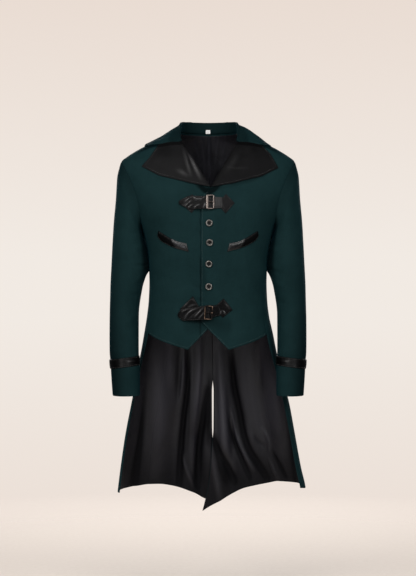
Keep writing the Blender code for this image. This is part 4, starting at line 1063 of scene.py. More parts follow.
def front_grid(side):
    """Turn and height grid of a front piece, rows from hem to shoulder."""
    corner = front_corner(side)
    heights = np.linspace(corner[1], float(armhole(SIDE_SEAM_TURN)[0]), SEAM_ABOVE_WAIST * FINE + 1)
    seam = np.stack([side_turn(side, heights), heights], -1)
    armhole_edge = armhole_line(side, SIDE_SEAM_TURN, 0)
    seam[-1] = armhole_edge[0]
    outer_side = joined(seam, armhole_edge)
    edge_x = EDGE_LEFT_FRONT if side > 0 else EDGE_RIGHT_FRONT
    foot = ROLL_LINE[side][0]
    bend = (edge_x * 0.8 + foot[0] * 0.2, EDGE_BEND[1])
    edge = spaced(((edge_x, HEM_FRONT_TOP), (edge_x, EDGE_BEND[0]), bend, foot), FRONT_EDGE_STEPS * FINE)
    roll = on_front(smoothed(ROLL_LINE[side], ROLL_STEPS * FINE))
    neck = [(side * turn, height) for turn, height in NECK_LINE[side]]
    neck = smoothed([roll[-1]] + neck + [(side * 90.0, NECK_HEIGHT)], NECK_STEPS * FINE)
    inner_side = joined(on_front(edge), roll, neck)
    inner = [(edge_x, HEM_FRONT_TOP)] + [(side * x, z) for x, z in HEM_FRONT_INNER]
    outer = [(side * x, z) for x, z in HEM_FRONT_OUTER]
    steps = [count * FINE for count in FRONT_HEM_STEPS]
    inner, outer = on_front(spaced(inner, steps[0])), on_front(spaced(outer, steps[1]))
    bottom = joined(inner, outer, spaced((outer[-1], corner), steps[2]))
    top = spaced(((side * 90.0, NECK_HEIGHT), (side * 90.0, SHOULDER_POINT[1])), FRONT_ACROSS * FINE)
    v, u = shares(len(outer_side) - 1, FRONT_SIZE[0]), shares(FRONT_ACROSS * FINE, FRONT_SIZE[1])
    return filled(inner_side, outer_side, bottom, top, v, u)


def side_grid(side):
    """Turn and height grid of a side piece with its tail, rows from hem to armhole."""
    corner = front_corner(side)
    height = float(armhole(SIDE_SEAM_TURN)[0])
    front_side = side_line(side, side_turn, height, corner[1])
    back_side = side_line(side, back_turn, float(armhole(BACK_SEAM_TURN)[0]), WAIST_HEIGHT)
    top = armhole_line(side, SIDE_SEAM_TURN, BACK_SEAM_TURN)
    front_side[0] = top[0]
    turns = np.linspace(front_side[-1, 0], back_side[-1, 0], len(top))
    bottom = np.stack([turns, hem_height(side, turns)], -1)
    v, u = shares(len(front_side) - 1, SIDE_SIZE[0]), shares(SIDE_ACROSS * FINE, SIDE_SIZE[1])
    return filled(front_side[::-1], back_side[::-1], bottom, top, v, u)


def back_grid(side):
    """Turn and height grid of a back piece with its tail, rows from hem to neck."""
    seam = side_line(side, back_turn, float(armhole(BACK_SEAM_TURN)[0]), WAIST_HEIGHT)
    shoulder = ((side * 90.0, NECK_HEIGHT), (side * 90.0, SHOULDER_POINT[1]))
    shoulder = spaced(shoulder, SHOULDER_STEPS * FINE)
    outer_side = joined(shoulder, armhole_line(side, 360, BACK_SEAM_TURN), seam)
    foot = float(hem_height(side, side * 180.0))
    heights = np.concatenate([
        np.linspace(NECK_HEIGHT, WAIST_HEIGHT, len(outer_side) - SEAM_BELOW_WAIST * FINE),
        np.linspace(WAIST_HEIGHT, VENT_HEIGHT, VENT_STEPS * FINE + 1)[1:],
        np.linspace(VENT_HEIGHT, foot, (SEAM_BELOW_WAIST - VENT_STEPS) * FINE + 1)[1:],
    ])
    centre = np.stack([np.full(len(heights), side * 180.0), heights], -1)
    turns = np.linspace(outer_side[-1, 0], side * 180.0, BACK_HEM_STEPS * FINE + 1)
    bottom = np.stack([turns, hem_height(side, turns)], -1)
    neck = spaced((outer_side[0], centre[0]), BACK_HEM_STEPS * FINE)
    v, u = shares(len(heights) - 1, BACK_SIZE[0]), shares(BACK_ACROSS * FINE, BACK_SIZE[1])
    return filled(outer_side[::-1], centre[::-1], bottom, neck, v, u)


def body_relief(points, turn):
    """How far the cloth of the body stands out at its creases."""
    x, z = points[..., 0], points[..., 2]
    front = ease((95.0 - np.abs(turn)) / 20.0)
    tails = ease((-0.50 - z) / 0.06)
    relief = front * (1 - tails) * creased(x, z, seen(FRONT_CREASES, FRONT_DEPTH))
    relief += (1 - front) * (1 - tails) * creased(x, z, BACK_CREASES)
    return relief - (1 - front) * tails * creased(x, z, seen(TAIL_CREASES, TAIL_DEPTH))


def profile(points, seams, free):
    """Grooves at the seams of a piece and rounding at its free edges."""
    ways = edge_ways(points)
    total = np.zeros(points.shape[:2])
    for side in seams:
        total -= GROOVE[0] * bell(ways[side], 0, GROOVE[1])
    for side in free:
        total -= ROUNDING[0] * bell(ways[side], 0, ROUNDING[1])
    return total


def drawn_in(grid, **edges):
    """Move the edges of a grid towards its inside, with the rows beside them."""
    ways = edge_ways(grid)
    moved = grid.copy()
    for side, size in edges.items():
        if not size:
            continue
        axis = 1 if side in ("left", "right") else 0
        sign = 1 if side in ("left", "bottom") else -1
        step = unit(np.gradient(grid, axis=axis)) * sign
        moved += step * (size * np.clip(1 - ways[side] / (size * 4), 0, 1))[..., None]
    return moved


def underlap(x):
    """How far the front that lies underneath is set back."""
    return UNDERLAP_DEPTH * ease((x - UNDERLAP_START) / UNDERLAP_WIDTH)


def add_panel(name, grid, wall, material, slot, sink=0.0, seams=(), free=(), extra=0.0, shade=0.0,
              **edges):
    """Make one sewn panel of the body. Its folds follow the same field as its neighbours'."""
    turn, height = grid[..., 0], grid[..., 1]
    face, normal = torso(height, turn), outward(height, turn)
    relief = body_relief(face, turn) - sink + extra
    outer = drawn_in(face + normal * (relief + profile(face, seams, free))[..., None], **edges)
    inner = drawn_in(face + normal * (relief - wall)[..., None], **edges)
    # Painted shade in the creases' troughs and from the shade tables; on the linings also painted light
    painted_shading = np.clip(relief + sink, -0.02, 0.02) * (1.0 if material == SATIN else -1.0) + shade
    nodes = [name.replace("cloth_", "")]
    shell(name, outer, inner, material, nodes, free=free, painted_shading=painted_shading)
    return outer, normal


def add_front(side):
    """Make one front, with stitches along its hem and, on the upper one, its closing edge."""
    grid = front_grid(side)
    x, z = torso(grid[..., 1], grid[..., 0])[..., 0], grid[..., 1]
    size, spread, set_out = EDGE_SHADE
    shade = creased(x, z, seen(FRONT_SHADES, FRONT_DEPTH))
    shade += size * bell(x, EDGE_LEFT_FRONT - set_out * (side < 0), spread) * (z < EDGE_BEND[0])
    outer, normal = add_panel(
        "cloth_front_" + word(side), grid, SHELL, SUITING, "cloth", underlap(x) if side < 0 else 0.0,
        seams=("right", "top"), free=("left", "bottom"), shade=shade, right=SEAM, top=SEAM,
    )
    lines = [line_in(outer, normal, "bottom", CLOTH_STITCH)]
    if side > 0:
        place, out = line_in(outer, normal, "left", CLOTH_STITCH)
        below = place[:, 2] < CLOSING_STITCH_TOP
        lines.append((place[below], out[below]))
    stitched("thread_front_" + word(side), [trimmed(*line, STITCH_END) for line in lines], THREAD)


def add_side_and_back(side):
    """Make one side piece and one back piece with their tails, and the linings behind them."""
    # Piece, grid and seams, then the lining's free edges and margins. The back lining's hem is
    # named twice, so that it is rounded twice as deep
    pieces = (
        ("side_", side_grid(side), ("left", "right", "top"), ("bottom", "left"),
         {"left": LINING_MARGIN, "right": SEAM}),
        ("back_", back_grid(side), ("left", "top"), ("bottom", "bottom"),
         {"left": SEAM, "right": VENT_MARGIN}),
    )
    size, start, reach = HEM_SHADE
    for stem, grid, seams, free, inside in pieces:
        add_panel("cloth_" + stem + word(side), grid, SHELL, SUITING, "cloth",
                  seams=seams, free=("bottom",), left=SEAM, right=SEAM)
        face = torso(grid[..., 1], grid[..., 0])
        x, z = face[..., 0], face[..., 2]
        extra = -creased(x, z, seen(NECK_CREASES, NECK_DEPTH)) if stem == "back_" else 0.0
        shade = creased(x, z, seen(TAIL_SHADES, SHADE_DEPTH)) + size * ease((start - z) / reach)
        add_panel("cloth_" + stem + "lining_" + word(side), grid, LINING, SATIN, "lining", SHELL + SEAT,
                  free=free, extra=extra, shade=shade, bottom=HEM_MARGIN, top=LINING_MARGIN, **inside)


def trimmed(line, out, distance):
    """Leave out the ends of a line, up to a distance."""
    ways = lengths_of(line)
    kept = (ways > distance) & (ways < ways[-1] - distance)
    return line[kept], out[kept]


def border(points, normals, distance, edges=EDGES):
    """Lines at a distance inside the edges of a grid, for stitches."""
    return [trimmed(*line_in(points, normals, edge, distance), distance) for edge in edges]


def tube(place, turn, lift=0.0):
    """Outer face of the left sleeve at a place along and a turn around, moved out."""
    place, turn = np.broadcast_arrays(np.asarray(place, float), np.asarray(turn, float))
    around = np.radians(turn)
    out_x, out_z, in_x, in_z, half, middle = (column(SLEEVE, k, place) for k in range(1, 7))
    mid_x, mid_z = (out_x + in_x) / 2, (out_z + in_z) / 2
    reach_x, reach_z = (out_x - in_x) / 2, (out_z - in_z) / 2
    length = np.hypot(reach_x, reach_z)
    grow = 1 + lift / length
    x = mid_x + reach_x * grow * np.cos(around)
    z = mid_z + reach_z * grow * np.cos(around)
    y = middle - (half + lift) * np.sin(around)
    round_form = np.stack([x, y, z], -1)
    rim = torso(*armhole(turn))
    middle = np.stack([mid_x, middle, mid_z], -1)
    rim = middle + (rim - middle) * (1 + lift / np.hypot(half, length) * 1.4)[..., None]
    rim = rim - np.array(SLEEVE_AWAY) * TUCK
    share = ease(place / SLEEVE_BLEND)[..., None]
    return round_form * share + rim * (1 - share)


def sleeve_relief(side, place, turn):
    """How far a sleeve stands out at its creases, its pressed folds and the roll of its head."""
    scale = (math.radians(SLEEVE_RADIUS), SLEEVE_LENGTH)
    total = sum(creased(turn + lap, place, SLEEVE_CREASES[side], scale) for lap in (-360, 0, 360))
    total = total * ease(place / 0.04) * ease((CUFF_START - place) / 0.02)
    pressed = ease((place + 0.01) / 0.05) * ease((0.53 - place) / 0.08)
    for around, spread, size in PRESSED_FOLDS:
        total = total + pressed * size * bell(turn % 360, around, spread)
    around, spread, middle, reach, size = ARMPIT_FOLD
    total = total + size * bell(turn % 360, around, spread) * bell(place, middle, reach)
    size, middle, reach = HEAD_ROLL
    return total + size * ease((np.cos(np.radians(turn)) + 0.5) / 0.9) * bell(place, middle, reach)


def turned_away(place, turn):
    """Shade on a sleeve: all over, at its head, on its inner side and towards its cuff."""
    outer = ease((135.0 - np.abs((turn + 180.0) % 360.0 - 180.0)) / 125.0)
    head = HEAD_SHADE * ease((0.15 - place) / 0.13) * outer
    inner = ease((turn % 360 - 140) / 30) * ease((215 - turn % 360) / 25) * ease((place - 0.45) / 0.2)
    cuff = np.clip((place - 0.30) / 0.58, 0.0, 1.0) * (0.12 + 0.88 * outer)
    return EVEN_SHADE + head + INNER_SHADE * inner + CUFF_SHADE * cuff


def add_sleeve(side, mirror):
    """Make top sleeve and under sleeve."""
    pieces = (
        ("sleeve_top_", BACK_SEAM_TURN - 360, SIDE_SEAM_TURN),
        ("sleeve_under_", SIDE_SEAM_TURN, BACK_SEAM_TURN),
    )
    for stem, first, last in pieces:
        steps = round((last - first) * ARMHOLE_POINTS / 360) * 6
        across = shares(steps, math.radians(last - first) * SLEEVE_RADIUS)
        along = shares(150, SLEEVE_LENGTH * CUFF_START, high=False) * CUFF_START
        places, around = np.meshgrid(along, first + (last - first) * across, indexing="ij")
        relief = sleeve_relief(side, places, around)
        groove = profile(tube(places, around), ("left", "right", "bottom"), ())
        outer, inner = (drawn_in(tube(places, around, lift), left=SEAM, right=SEAM)
                        for lift in (relief + groove, relief - SHELL))
        beside = ease((places - 0.03) / 0.06) * ease((0.62 - places) / 0.08)
        pushed = (clear_of_body(outer, SLEEVE_GAP) - outer) * beside[..., None]
        # Painted shade in the armpit, where the sleeve lies against the side
        painted_armpit_shade = ease((around % 360 - 122) / 26) * ease((238 - around % 360) / 26)
        painted_armpit_shade = FOLD_SHADE * painted_armpit_shade * ease(places / 0.06) * ease((0.58 - places) / 0.12)
        shell("cloth_" + stem + word(side), (outer + pushed) * mirror, (inner + pushed) * mirror, SUITING,
              [stem + word(side)], free=(),
              painted_shading=np.maximum(painted_armpit_shade, turned_away(places, around)))


def add_cuff(side, mirror):
    """Make the turned cuff of one sleeve."""
    along = CUFF_RINGS[0] + (CUFF_RINGS[1] - CUFF_RINGS[0]) * shares(26, CUFF_DEPTH, low=False)
    places, around = np.meshgrid(along, CUFF_TURNS, indexing="ij")
    share = (places - CUFF_RINGS[0]) / (CUFF_RINGS[1] - CUFF_RINGS[0])
    relief = CUFF_WAVES * np.sin(np.radians(around * 3 + side * 40)) * share
    relief = relief + CUFF_BULGE * np.sin(np.pi * share)
    free = profile(looped(tube(places, around)), (), ("top",))[:, :-1]
    shell("cloth_cuff_" + word(side), tube(places, around, relief + free) * mirror,
          tube(places, around, relief - CUFF_WALL) * mirror, SUITING, ["cuff_" + word(side)],
          wrap=True, free=("top",), painted_shading=turned_away(places, around))


def add_cuff_band(side, mirror):
    """Make the leather band over the seam between sleeve and cuff."""
    inside = inner_share(CUFF_TURNS)
    top, bottom = (edge[0] + (edge[1] - edge[0]) * inside for edge in (BAND_TOP, BAND_BOTTOM))
    share = shares(16, BAND_WIDTH)[:, None]
    places = top[None] * (1 - share) + bottom[None] * share
    around, share = np.broadcast_to(CUFF_TURNS, places.shape), np.broadcast_to(share, places.shape)
    # Every third crease is turned inside out on the wearer's right
    lines = tuple((line, width, depth * side if index % 3 == 2 else depth)
                  for index, (line, width, depth) in enumerate(BAND_CREASES))
    relief = creased(around, share, lines, (math.radians(SLEEVE_RADIUS), BAND_WIDTH))
    thick = (LEATHER + BAND_BULGE * np.sin(np.pi * share) ** 0.6) * (1.15 - 0.55 * inner_share(around))
    outer = tube(places, around, SEAT + thick + np.maximum(relief, -BAND_CREASE_DEPTH)) * mirror
    # Painted highlight, lighter and glossier, on the inner side and the creases' crests; painted shade on the
    # outer side and in the troughs
    wear_and_painted_highlight = ease((around - 68) / 12) * ease((142 - around) / 14)
    wear_and_painted_highlight = wear_and_painted_highlight * (0.25 + 0.75 * share_of(relief, WEAR_AND_PAINTED_HIGHLIGHT_HEIGHT))
    shaded = BAND_SHADE * ease((np.cos(np.radians(around)) - 0.1) / 0.5) - relief
    shell("leather_cuff_band_" + word(side), outer, tube(places, around, SEAT) * mirror, STRAP_LEATHER,
          ["cuff_band_" + word(side)],
          wrap=True, painted_shading=shaded, mark=0.98 - 0.55 * wear_and_painted_highlight)
    face = looped(outer)
    normal = grid_normals(face)
    normal *= np.sign((normal * (face - face.mean((0, 1)))).sum(-1, keepdims=True))
    stitched("thread_band_" + word(side), border(face, normal, BAND_STITCH, ("bottom", "top")),
             LEATHER_THREAD)


def clear_of_body(points, gap):
    """Push points sideways until they stand clear of the shoulders and back."""
    points = points.copy()
    x, y, z = points[..., 0], points[..., 1], points[..., 2]
    half, power = column(SECTIONS, 1, z), column(SECTIONS, 5, z)
    depth = np.where(y < 0, column(SECTIONS, 3, z), column(SECTIONS, 4, z))
    share = ((np.abs(x) / half) ** power + (np.abs(y) / depth) ** power) ** (1 / power)
    distance = np.hypot(x, y)
    wanted = distance / share + gap
    scale = np.where((z < NECK_HEIGHT) & (distance < wanted), wanted / distance, 1.0)
    points[..., 0] *= scale
    points[..., 1] *= scale
    return points


def collar_half(side):
    """Outer face of half the collar, rows from the front end to the centre back."""
    places = np.linspace(0, 1, 12 * FINE + 1)
    past = [2 - COLLAR[-2][0]] + [value * (-1 if k % 3 == 0 else 1) for k, value in enumerate(COLLAR[-2][1:])]
    table = COLLAR + (tuple(past),)
    foot, fold, edge = (np.stack([column(table, k + i, places) for i in range(3)], -1) for k in (1, 4, 7))
    for line, spread in zip((foot, fold, edge), COLLAR_SPREAD[side][:1] + COLLAR_SPREAD[side]):
        line[:, 0] *= spread
    away = unit((edge - fold) * (1, 1, 0))
    bend = COLLAR_FOLD * (0.5 + 0.5 * ease(places * 5))[:, None]
    down = bend * np.array([0.0, 0.0, -1.0])
    start = fold + away * bend * 2 + down
    stand_top = fold + down * ease(places * 8)[:, None]
    lines = [foot, (foot + stand_top) / 2, stand_top, fold + away * bend * 0.5,
             clear_of_body(fold + away * bend * 1.5, FOLD_GAP[0]), clear_of_body(start, FOLD_GAP[1])]
    for share in COLLAR_FALL:
        line = start * (1 - share) + edge * share
        line[:, 2] += COLLAR_BULGE[side] * math.sin(math.pi * share) * ease(places * 3)
        settled = COLLAR_SETTLED * share * ease((0.5 - places) / 0.2)
        settled = settled * ease((np.abs(line[:, 0]) - COLLAR_TIPS[0]) / COLLAR_TIPS[1])
        lines.append(clear_of_body(line, COLLAR_GAP[0] + COLLAR_GAP[1] * share - settled))
    return np.stack(lines, 1) * np.array([side, 1, 1])


def across_lines(lines, steps):
    """Run a smooth curve through each row of control points."""
    rows = []
    for row in lines:
        ways = lengths_of(row)
        rows.append(read_curve(row, ways, ways[-1] * shares(steps, FALL_DEPTH, low=False)))
    return np.array(rows)


def add_collar():
    """Make the collar, stand and fall in one piece."""
    right, left = collar_half(-1), collar_half(1)
    grid = across_lines(np.concatenate([right, left[::-1][1:]]), 44)
    normal = grid_normals(grid)
    along = 1 - np.abs(np.linspace(-1, 1, len(grid)))
    along, across = np.meshgrid(along, np.linspace(0, 1, grid.shape[1]), indexing="ij")
    relief = creased(along, across, COLLAR_CREASES, (0.22, 0.10)) * ease(along * 12)
    outer = grid + normal * (relief + profile(grid, (), EDGES))[..., None]
    even, stand, front, edge = COLLAR_SHADES
    shaded = even + stand * ease((0.40 - across) / 0.12)
    shaded = shaded + front * ease((across - 0.58) / 0.25) * ease((0.60 - along) / 0.3)
    shaded = shaded + edge * ease((across - 0.80) / 0.15) * ease((0.75 - along) / 0.2)
    shell("cloth_collar", outer, outer - normal * COLLAR_WALL, SUITING, ["collar"],
          free=("right", "bottom", "top"), painted_shading=shaded)
    stitched("thread_collar", border(outer, normal, CLOTH_STITCH, ("right",)), THREAD)


def add_lapel(side):
    """Make one lapel, folded back along its roll line."""
    # A few places across each row, through which the row's smooth curve is laid
    shown = np.concatenate([[0, 1 / 14], np.linspace(0, 1, 8)[1:]])
    v = np.linspace(0, 1, LAPEL_ROWS + 1)
    roll, free = spaced(ROLL_LINE[side], LAPEL_ROWS), spaced(LAPEL_FREE[side], LAPEL_ROWS)
    bottom = spaced(LAPEL_BOTTOM[side], 56)
    gorge = spaced((ROLL_LINE[side][-1], LAPEL_FREE[side][-1]), 56)
    flat = filled(roll, free, bottom, gorge, v, shown)
    v, share = v[:, None], shown[None, :]
    turn = turn_at(flat[..., 0], flat[..., 1])
    face, normal = torso(flat[..., 1], turn), outward(flat[..., 1], turn)
    full = LAPEL_WALL + LAPEL_SEAT
    rise = LAPEL_RISE * np.sin(np.pi * share) * ease(v + 0.3)
    grid = face + normal * (full + rise)[..., None]
    rolled = ease(v * 3.5)
    reach = LAPEL_ROLL * (0.4 + 0.6 * rolled)
    inward = np.array([-side * 0.85, 0.0, 0.53])
    rim = [face[:, 0] + inward * reach + normal[:, 0] * (full * (1 - rolled) - 0.0004 * rolled),
           face[:, 0] + inward * reach * 0.8 + normal[:, 0] * full * (1 - 0.4 * rolled)]
    grid = across_lines(np.concatenate([np.stack(rim, 1), grid], axis=1), 60)
    grid = drawn_in(grid, top=SEAM * 2)
    normal = grid_normals(grid) * -side
    relief = creased(grid[..., 0], grid[..., 2], seen(LAPEL_CREASES[side], LAPEL_DEPTH))
    ways = edge_ways(grid)
    relief = np.maximum(relief, -0.0010) * ease(np.minimum(ways["right"], ways["bottom"]) / 0.006)
    relief = relief + profile(grid, (), ("right", "bottom", "top"))
    outer, inner = (grid + normal * lift[..., None] for lift in (relief, relief * 0.6 - LAPEL_WALL))
    # Painted highlight along the rubbed folds, and painted shade beside the gorge under the collar's fall
    wear_and_painted_highlight = creased(grid[..., 0], grid[..., 2], seen(LAPEL_WEAR_AND_PAINTED_HIGHLIGHT[side], LAPEL_DEPTH))
    shell("leather_lapel_" + word(side), outer, inner, LAPEL_LEATHER, ["lapel_" + word(side)],
          free=("right", "bottom", "top"),
          painted_shading=GORGE_SHADE * (1 - ease((ways["top"] - 0.010) / 0.009)),
          mark=LAPEL_DULL[side] * (1 - share_of(wear_and_painted_highlight, 0.001)))
    stitched("thread_lapel_" + word(side), border(outer, normal, LAPEL_STITCH, ("right", "bottom")),
             LEATHER_THREAD)


def front_tree():
    """Collect the fronts, so that other pieces can be laid on them."""
    points, faces = [], []
    for side in (-1, 1):
        mesh = bpy.data.objects["cloth_front_" + word(side)].data
        faces += [[k + len(points) for k in face.vertices] for face in mesh.polygons]
        points += [vert.co.copy() for vert in mesh.vertices]
    return BVHTree.FromPolygons(points, faces)


def on_cloth(x, z):
    """Find the front's outer face at a place seen from the front."""
    return np.array(FRONTS.ray_cast(Vector((x, -1.0, z)), Vector((0, 1, 0)))[0])


def add_laid(name, flat, seat, wall, material, relief, mark, on_tree=True):
    """Lay a flat grid of x and height on the fronts, as a wall of its own."""
    turn = turn_at(flat[..., 0], flat[..., 1])
    base, normal = torso(flat[..., 1], turn), outward(flat[..., 1], turn)
    if on_tree:
        base = np.array([[on_cloth(*place) for place in row] for row in flat])
    else:
        base = base + normal * np.maximum(body_relief(base, turn), 0)[..., None]
    ways = edge_ways(base)
    edge = np.min([ways[side] for side in ways], axis=0)
    rounding = LAID_ROUNDING[0] * bell(edge, 0, LAID_ROUNDING[1])
    # Painted shade in the troughs of the creases
    painted_shading = -relief * np.ones(edge.shape)
    relief = relief * ease(edge / 0.003) + 0.0004 * ease((edge - 0.0026) / 0.002)
    outer = base + normal * (seat + wall + relief - rounding)[..., None]
    inner = base + normal * (seat + np.maximum(relief * 0.7, -0.0003))[..., None]
    nodes = [name.replace("leather_", "")]
    shell(name, outer, inner, material, nodes, painted_shading=painted_shading, mark=mark)
    threads = border(outer, normal, LAID_STITCH)
    stitched(name.replace("leather_", "thread_"), threads, LEATHER_THREAD)


def add_welt(side):
    """Make the curved leather welt of one pocket."""
    top, bottom = (smoothed(line, 44) * (side, 1.0) for line in (WELT_TOP, WELT_BOTTOM))
    share = shares(10, WELT_DEPTH)[:, None, None]
    grid = bottom[None] * (1 - share) + top[None] * share
    across, share = np.linspace(0, 1, 45)[None, :], share[..., 0]
    bulge = 0.0016 * np.sin(np.pi * share) ** 0.8 * (0.35 + 0.65 * ease((across - 0.35) / 0.3))
    slant = across + 0.16 * (share - 0.5)
    # Painted highlight: the outer part of the welt is dull and darker, the inner part glossy and lighter
    add_laid("leather_pocket_welt_" + word(side), grid, LAID_SEAT, LEATHER, STRAP_LEATHER,
             bulge, ease((0.62 - slant) / 0.08))


def strap_grid(root, tip, half_root, half_tip, point):
    """Grid of a strap from its root to its tip, with a point of a given length."""
    root, tip = np.array(root), np.array(tip)
    length = np.linalg.norm(tip - root)
    along = (tip - root) / length
    square = np.array([-along[1], along[0]])
    places = shares(max(18, round(length / 0.0016)), length)
    start = 1 - point / length
    full = half_root + (half_tip - half_root) * np.minimum(places, start)
    narrow = np.clip((places - start) / (1 - start), 0, 1) if point else 0.0
    halves = full * (1 - (1 - TIP_WIDTH) * narrow**1.15)
    middle = root + along * (places * length)[:, None]
    across = shares(20, half_root * 2)[None, :, None] * 2 - 1
    return middle[:, None] + square * halves[:, None, None] * across, places


def seat_frame(x, z, tilt):
    """Point on the fronts with two directions along them and one out of them."""
    base = on_cloth(x, z)
    out = outward(np.array(z), turn_at(x, z))
    right = np.array([math.cos(tilt), 0.0, math.sin(tilt)])
    right = unit(right - out * right.dot(out))
    return base, right, np.cross(out, right), out


def box_outline(half_width, half_height, corner):
    """Points around a box with round corners, with a few along each straight side."""
    steps, between, corners = 8, 5, []
    for number, (sign_x, sign_y) in enumerate(((1, 1), (-1, 1), (-1, -1), (1, -1))):
        angle = np.linspace(0, math.pi / 2, steps) + math.pi / 2 * number
        corners.append(np.stack([sign_x * (half_width - corner) + corner * np.cos(angle),
                                 sign_y * (half_height - corner) + corner * np.sin(angle)], -1))
    points = []
    for here, after in zip(corners, corners[1:] + corners[:1]):
        points += [here, spaced((here[-1], after[0]), between)[1:-1]]
    return np.concatenate(points)


def ring_mesh(name, rings, closed, material, nodes):
    """Skin rings of points; the rows close on themselves, or end in a cap."""
    rows, count = rings.shape[:2]
    faces = []
    for i in range(rows if closed else rows - 1):
        for j in range(count):
            n, k = (i + 1) % rows, (j + 1) % count
            faces.append((i * count + j, i * count + k, n * count + k, n * count + j))
    if not closed:
        faces.append(tuple(range(count))[::-1])
        faces.append(tuple((rows - 1) * count + j for j in range(count)))
    mesh = bpy.data.meshes.new(name)
    mesh.from_pydata(rings.reshape(-1, 3), [], faces)
    faced_out(mesh)
    return placed(name, mesh, material, nodes)


def add_buckle(name, metal, left_bar, x, z, half_width, half_height, tilt):
    """Make a rounded buckle frame with a left bar of its own width, and its prong."""
    base, right, up, out = seat_frame(x, z, tilt)
    outer = box_outline(half_width, half_height, 0.0030)
    inner = box_outline(half_width - BUCKLE_BAR, half_height - BUCKLE_BAR, 0.0012)
    inner[:, 0] += np.where(inner[:, 0] < 0, left_bar - BUCKLE_BAR, 0.0)
    angle = np.linspace(0, 2 * np.pi, 17)[:-1]
    share = 0.5 - 0.5 * np.sign(np.cos(angle)) * np.abs(np.cos(angle)) ** 0.8
    height = 0.5 + 0.5 * np.sign(np.sin(angle)) * np.abs(np.sin(angle)) ** 0.8
    line = outer[:, None] * (1 - share)[None, :, None] + inner[:, None] * share[None, :, None]
    lift = (BUCKLE_SEAT + BUCKLE_WALL * height)[:, None] * out
    rings = base + line[..., :1] * right + line[..., 1:] * up + lift
    piece = ring_mesh("metal_" + name, rings, True, metal, [name])
    side_x, side_y = outer[:, 0] / half_width, outer[:, 1] / half_height
    dark = np.maximum(ease((side_x - 0.2) / 0.6) * (1 - ease((side_y - 0.45) / 0.4)),
                      ease((0.3 - side_x) / 0.5) * ease((side_y - 0.5) / 0.4))
    valued(piece.data, "mark", np.repeat(DARKER_RIGHT_AND_TOP[metal.name] * dark, len(angle)))
    # The prong from its bar to its tip: place along, height, radius
    low, high = BUCKLE_SEAT, BUCKLE_SEAT + BUCKLE_WALL
    path = smoothed((
        (-half_width + left_bar + 0.0012, low + 0.0012, 0.0013),
        (-half_width * 0.2, low + 0.0020, 0.0012),
        (half_width * 0.4, high + 0.0008, 0.0011),
        (half_width - BUCKLE_BAR * 0.4, high + 0.0016, 0.0011),
        (half_width + 0.0005, high + 0.0013, 0.0008),
    ), 26)
    path = np.concatenate([path[:1] * (1, 1, 0.4), path, path[-1:] * (1, 1, 0.4) + (0.0003, 0, 0)])
    turns = np.linspace(0, 2 * np.pi, 13)[:-1]
    around = np.cos(turns)[:, None] * up + np.sin(turns)[:, None] * out * 0.9
    rings = np.array([base + right * along + out * lift + radius * around for along, lift, radius in path])
    piece = ring_mesh("metal_" + name + "_prong", rings, False, metal, [name + "_prong"])
    dark = 0.97 - 0.97 * ease((path[:, 0] - half_width + 0.0052) / 0.0020)
    valued(piece.data, "mark", np.repeat(dark, len(turns)))


def add_fastening(name):
    """Make diamond patches, straps and buckle of one fastening."""
    for side in (-1, 1):
        a, b, c, d = (np.array(corner) for corner in PATCHES[name][side])
        step = shares(28, PATCH_DEPTH)
        sides = (spaced(ends, 28) for ends in ((a, d), (b, c), (a, b), (d, c)))
        flat = filled(*sides, step, step)
        relief = creased(flat[..., 0], flat[..., 1], seen(PATCH_CREASES[name, side], STRAP_DEPTH))
        relief = np.maximum(relief, 0)
        # The patch's folds keep a painted highlight, lighter and glossier, on dull leather
        add_laid("leather_%s_patch_%s" % (name, word(side)), flat, LAID_SEAT, PATCH_WALL,
                 STRAP_LEATHER if name == "waist" else DULL_LEATHER, relief,
                 PATCH_DULL[name] * (1 - share_of(relief, WEAR_AND_PAINTED_HIGHLIGHT_HEIGHT)))
    for side in (-1, 1):
        flat, places = strap_grid(*STRAPS[name][side])
        # Painted shade at the root, under the buckle; the wearer's right strap is also dull and darker
        # towards its tip
        mark = ease((0.16 - places) / 0.05)
        if side < 0:
            mark = np.maximum(0.5 * mark, 0.9 * ease((places - 0.74) / 0.16))
        relief = creased(flat[..., 0], flat[..., 1], seen(STRAP_CREASES[name, side], STRAP_DEPTH))
        # The folds' crests keep a painted highlight, lighter and glossier, on dull leather
        dull = STRAP_DULL[name, side] * (1 - share_of(relief, STRAP_CREST[name]))
        add_laid("leather_%s_strap_%s" % (name, word(side)), flat, STRAP_SEAT, STRAP_WALL,
                 WORN_LEATHER if (name, side) == ("chest", 1) else STRAP_LEATHER,
                 np.maximum(relief, -0.0012),
                 np.maximum(mark[:, None], dull), on_tree=False)
    metal = SILVER if name == "chest" else BRONZE
    add_buckle(name + "_buckle", metal, BUCKLE_LEFT_BAR[name], *BUCKLES[name])


def add_button(number, x, z):
    """Turn one button from its profile and seat it on the front."""
    name = "button_%d" % number
    base, right, up, out = seat_frame(x, z, 0.0)
    radius, height = smoothed(BUTTON_PROFILE, 44).T
    angle = np.arange(48) * 2 * np.pi / 48
    around = np.cos(angle)[:, None] * right + np.sin(angle)[:, None] * up
    rings = np.array([base + out * (SEAT + h) + around * max(r, 0.00002) for r, h in zip(radius, height)])
    piece = ring_mesh("metal_" + name, rings, False, BUTTON_SILVER, [name])
    # The sunk middle of the face is dark
    valued(piece.data, "mark", np.repeat(ease((0.0056 - radius) / 0.0012) * (height > 0.0012), len(angle)))


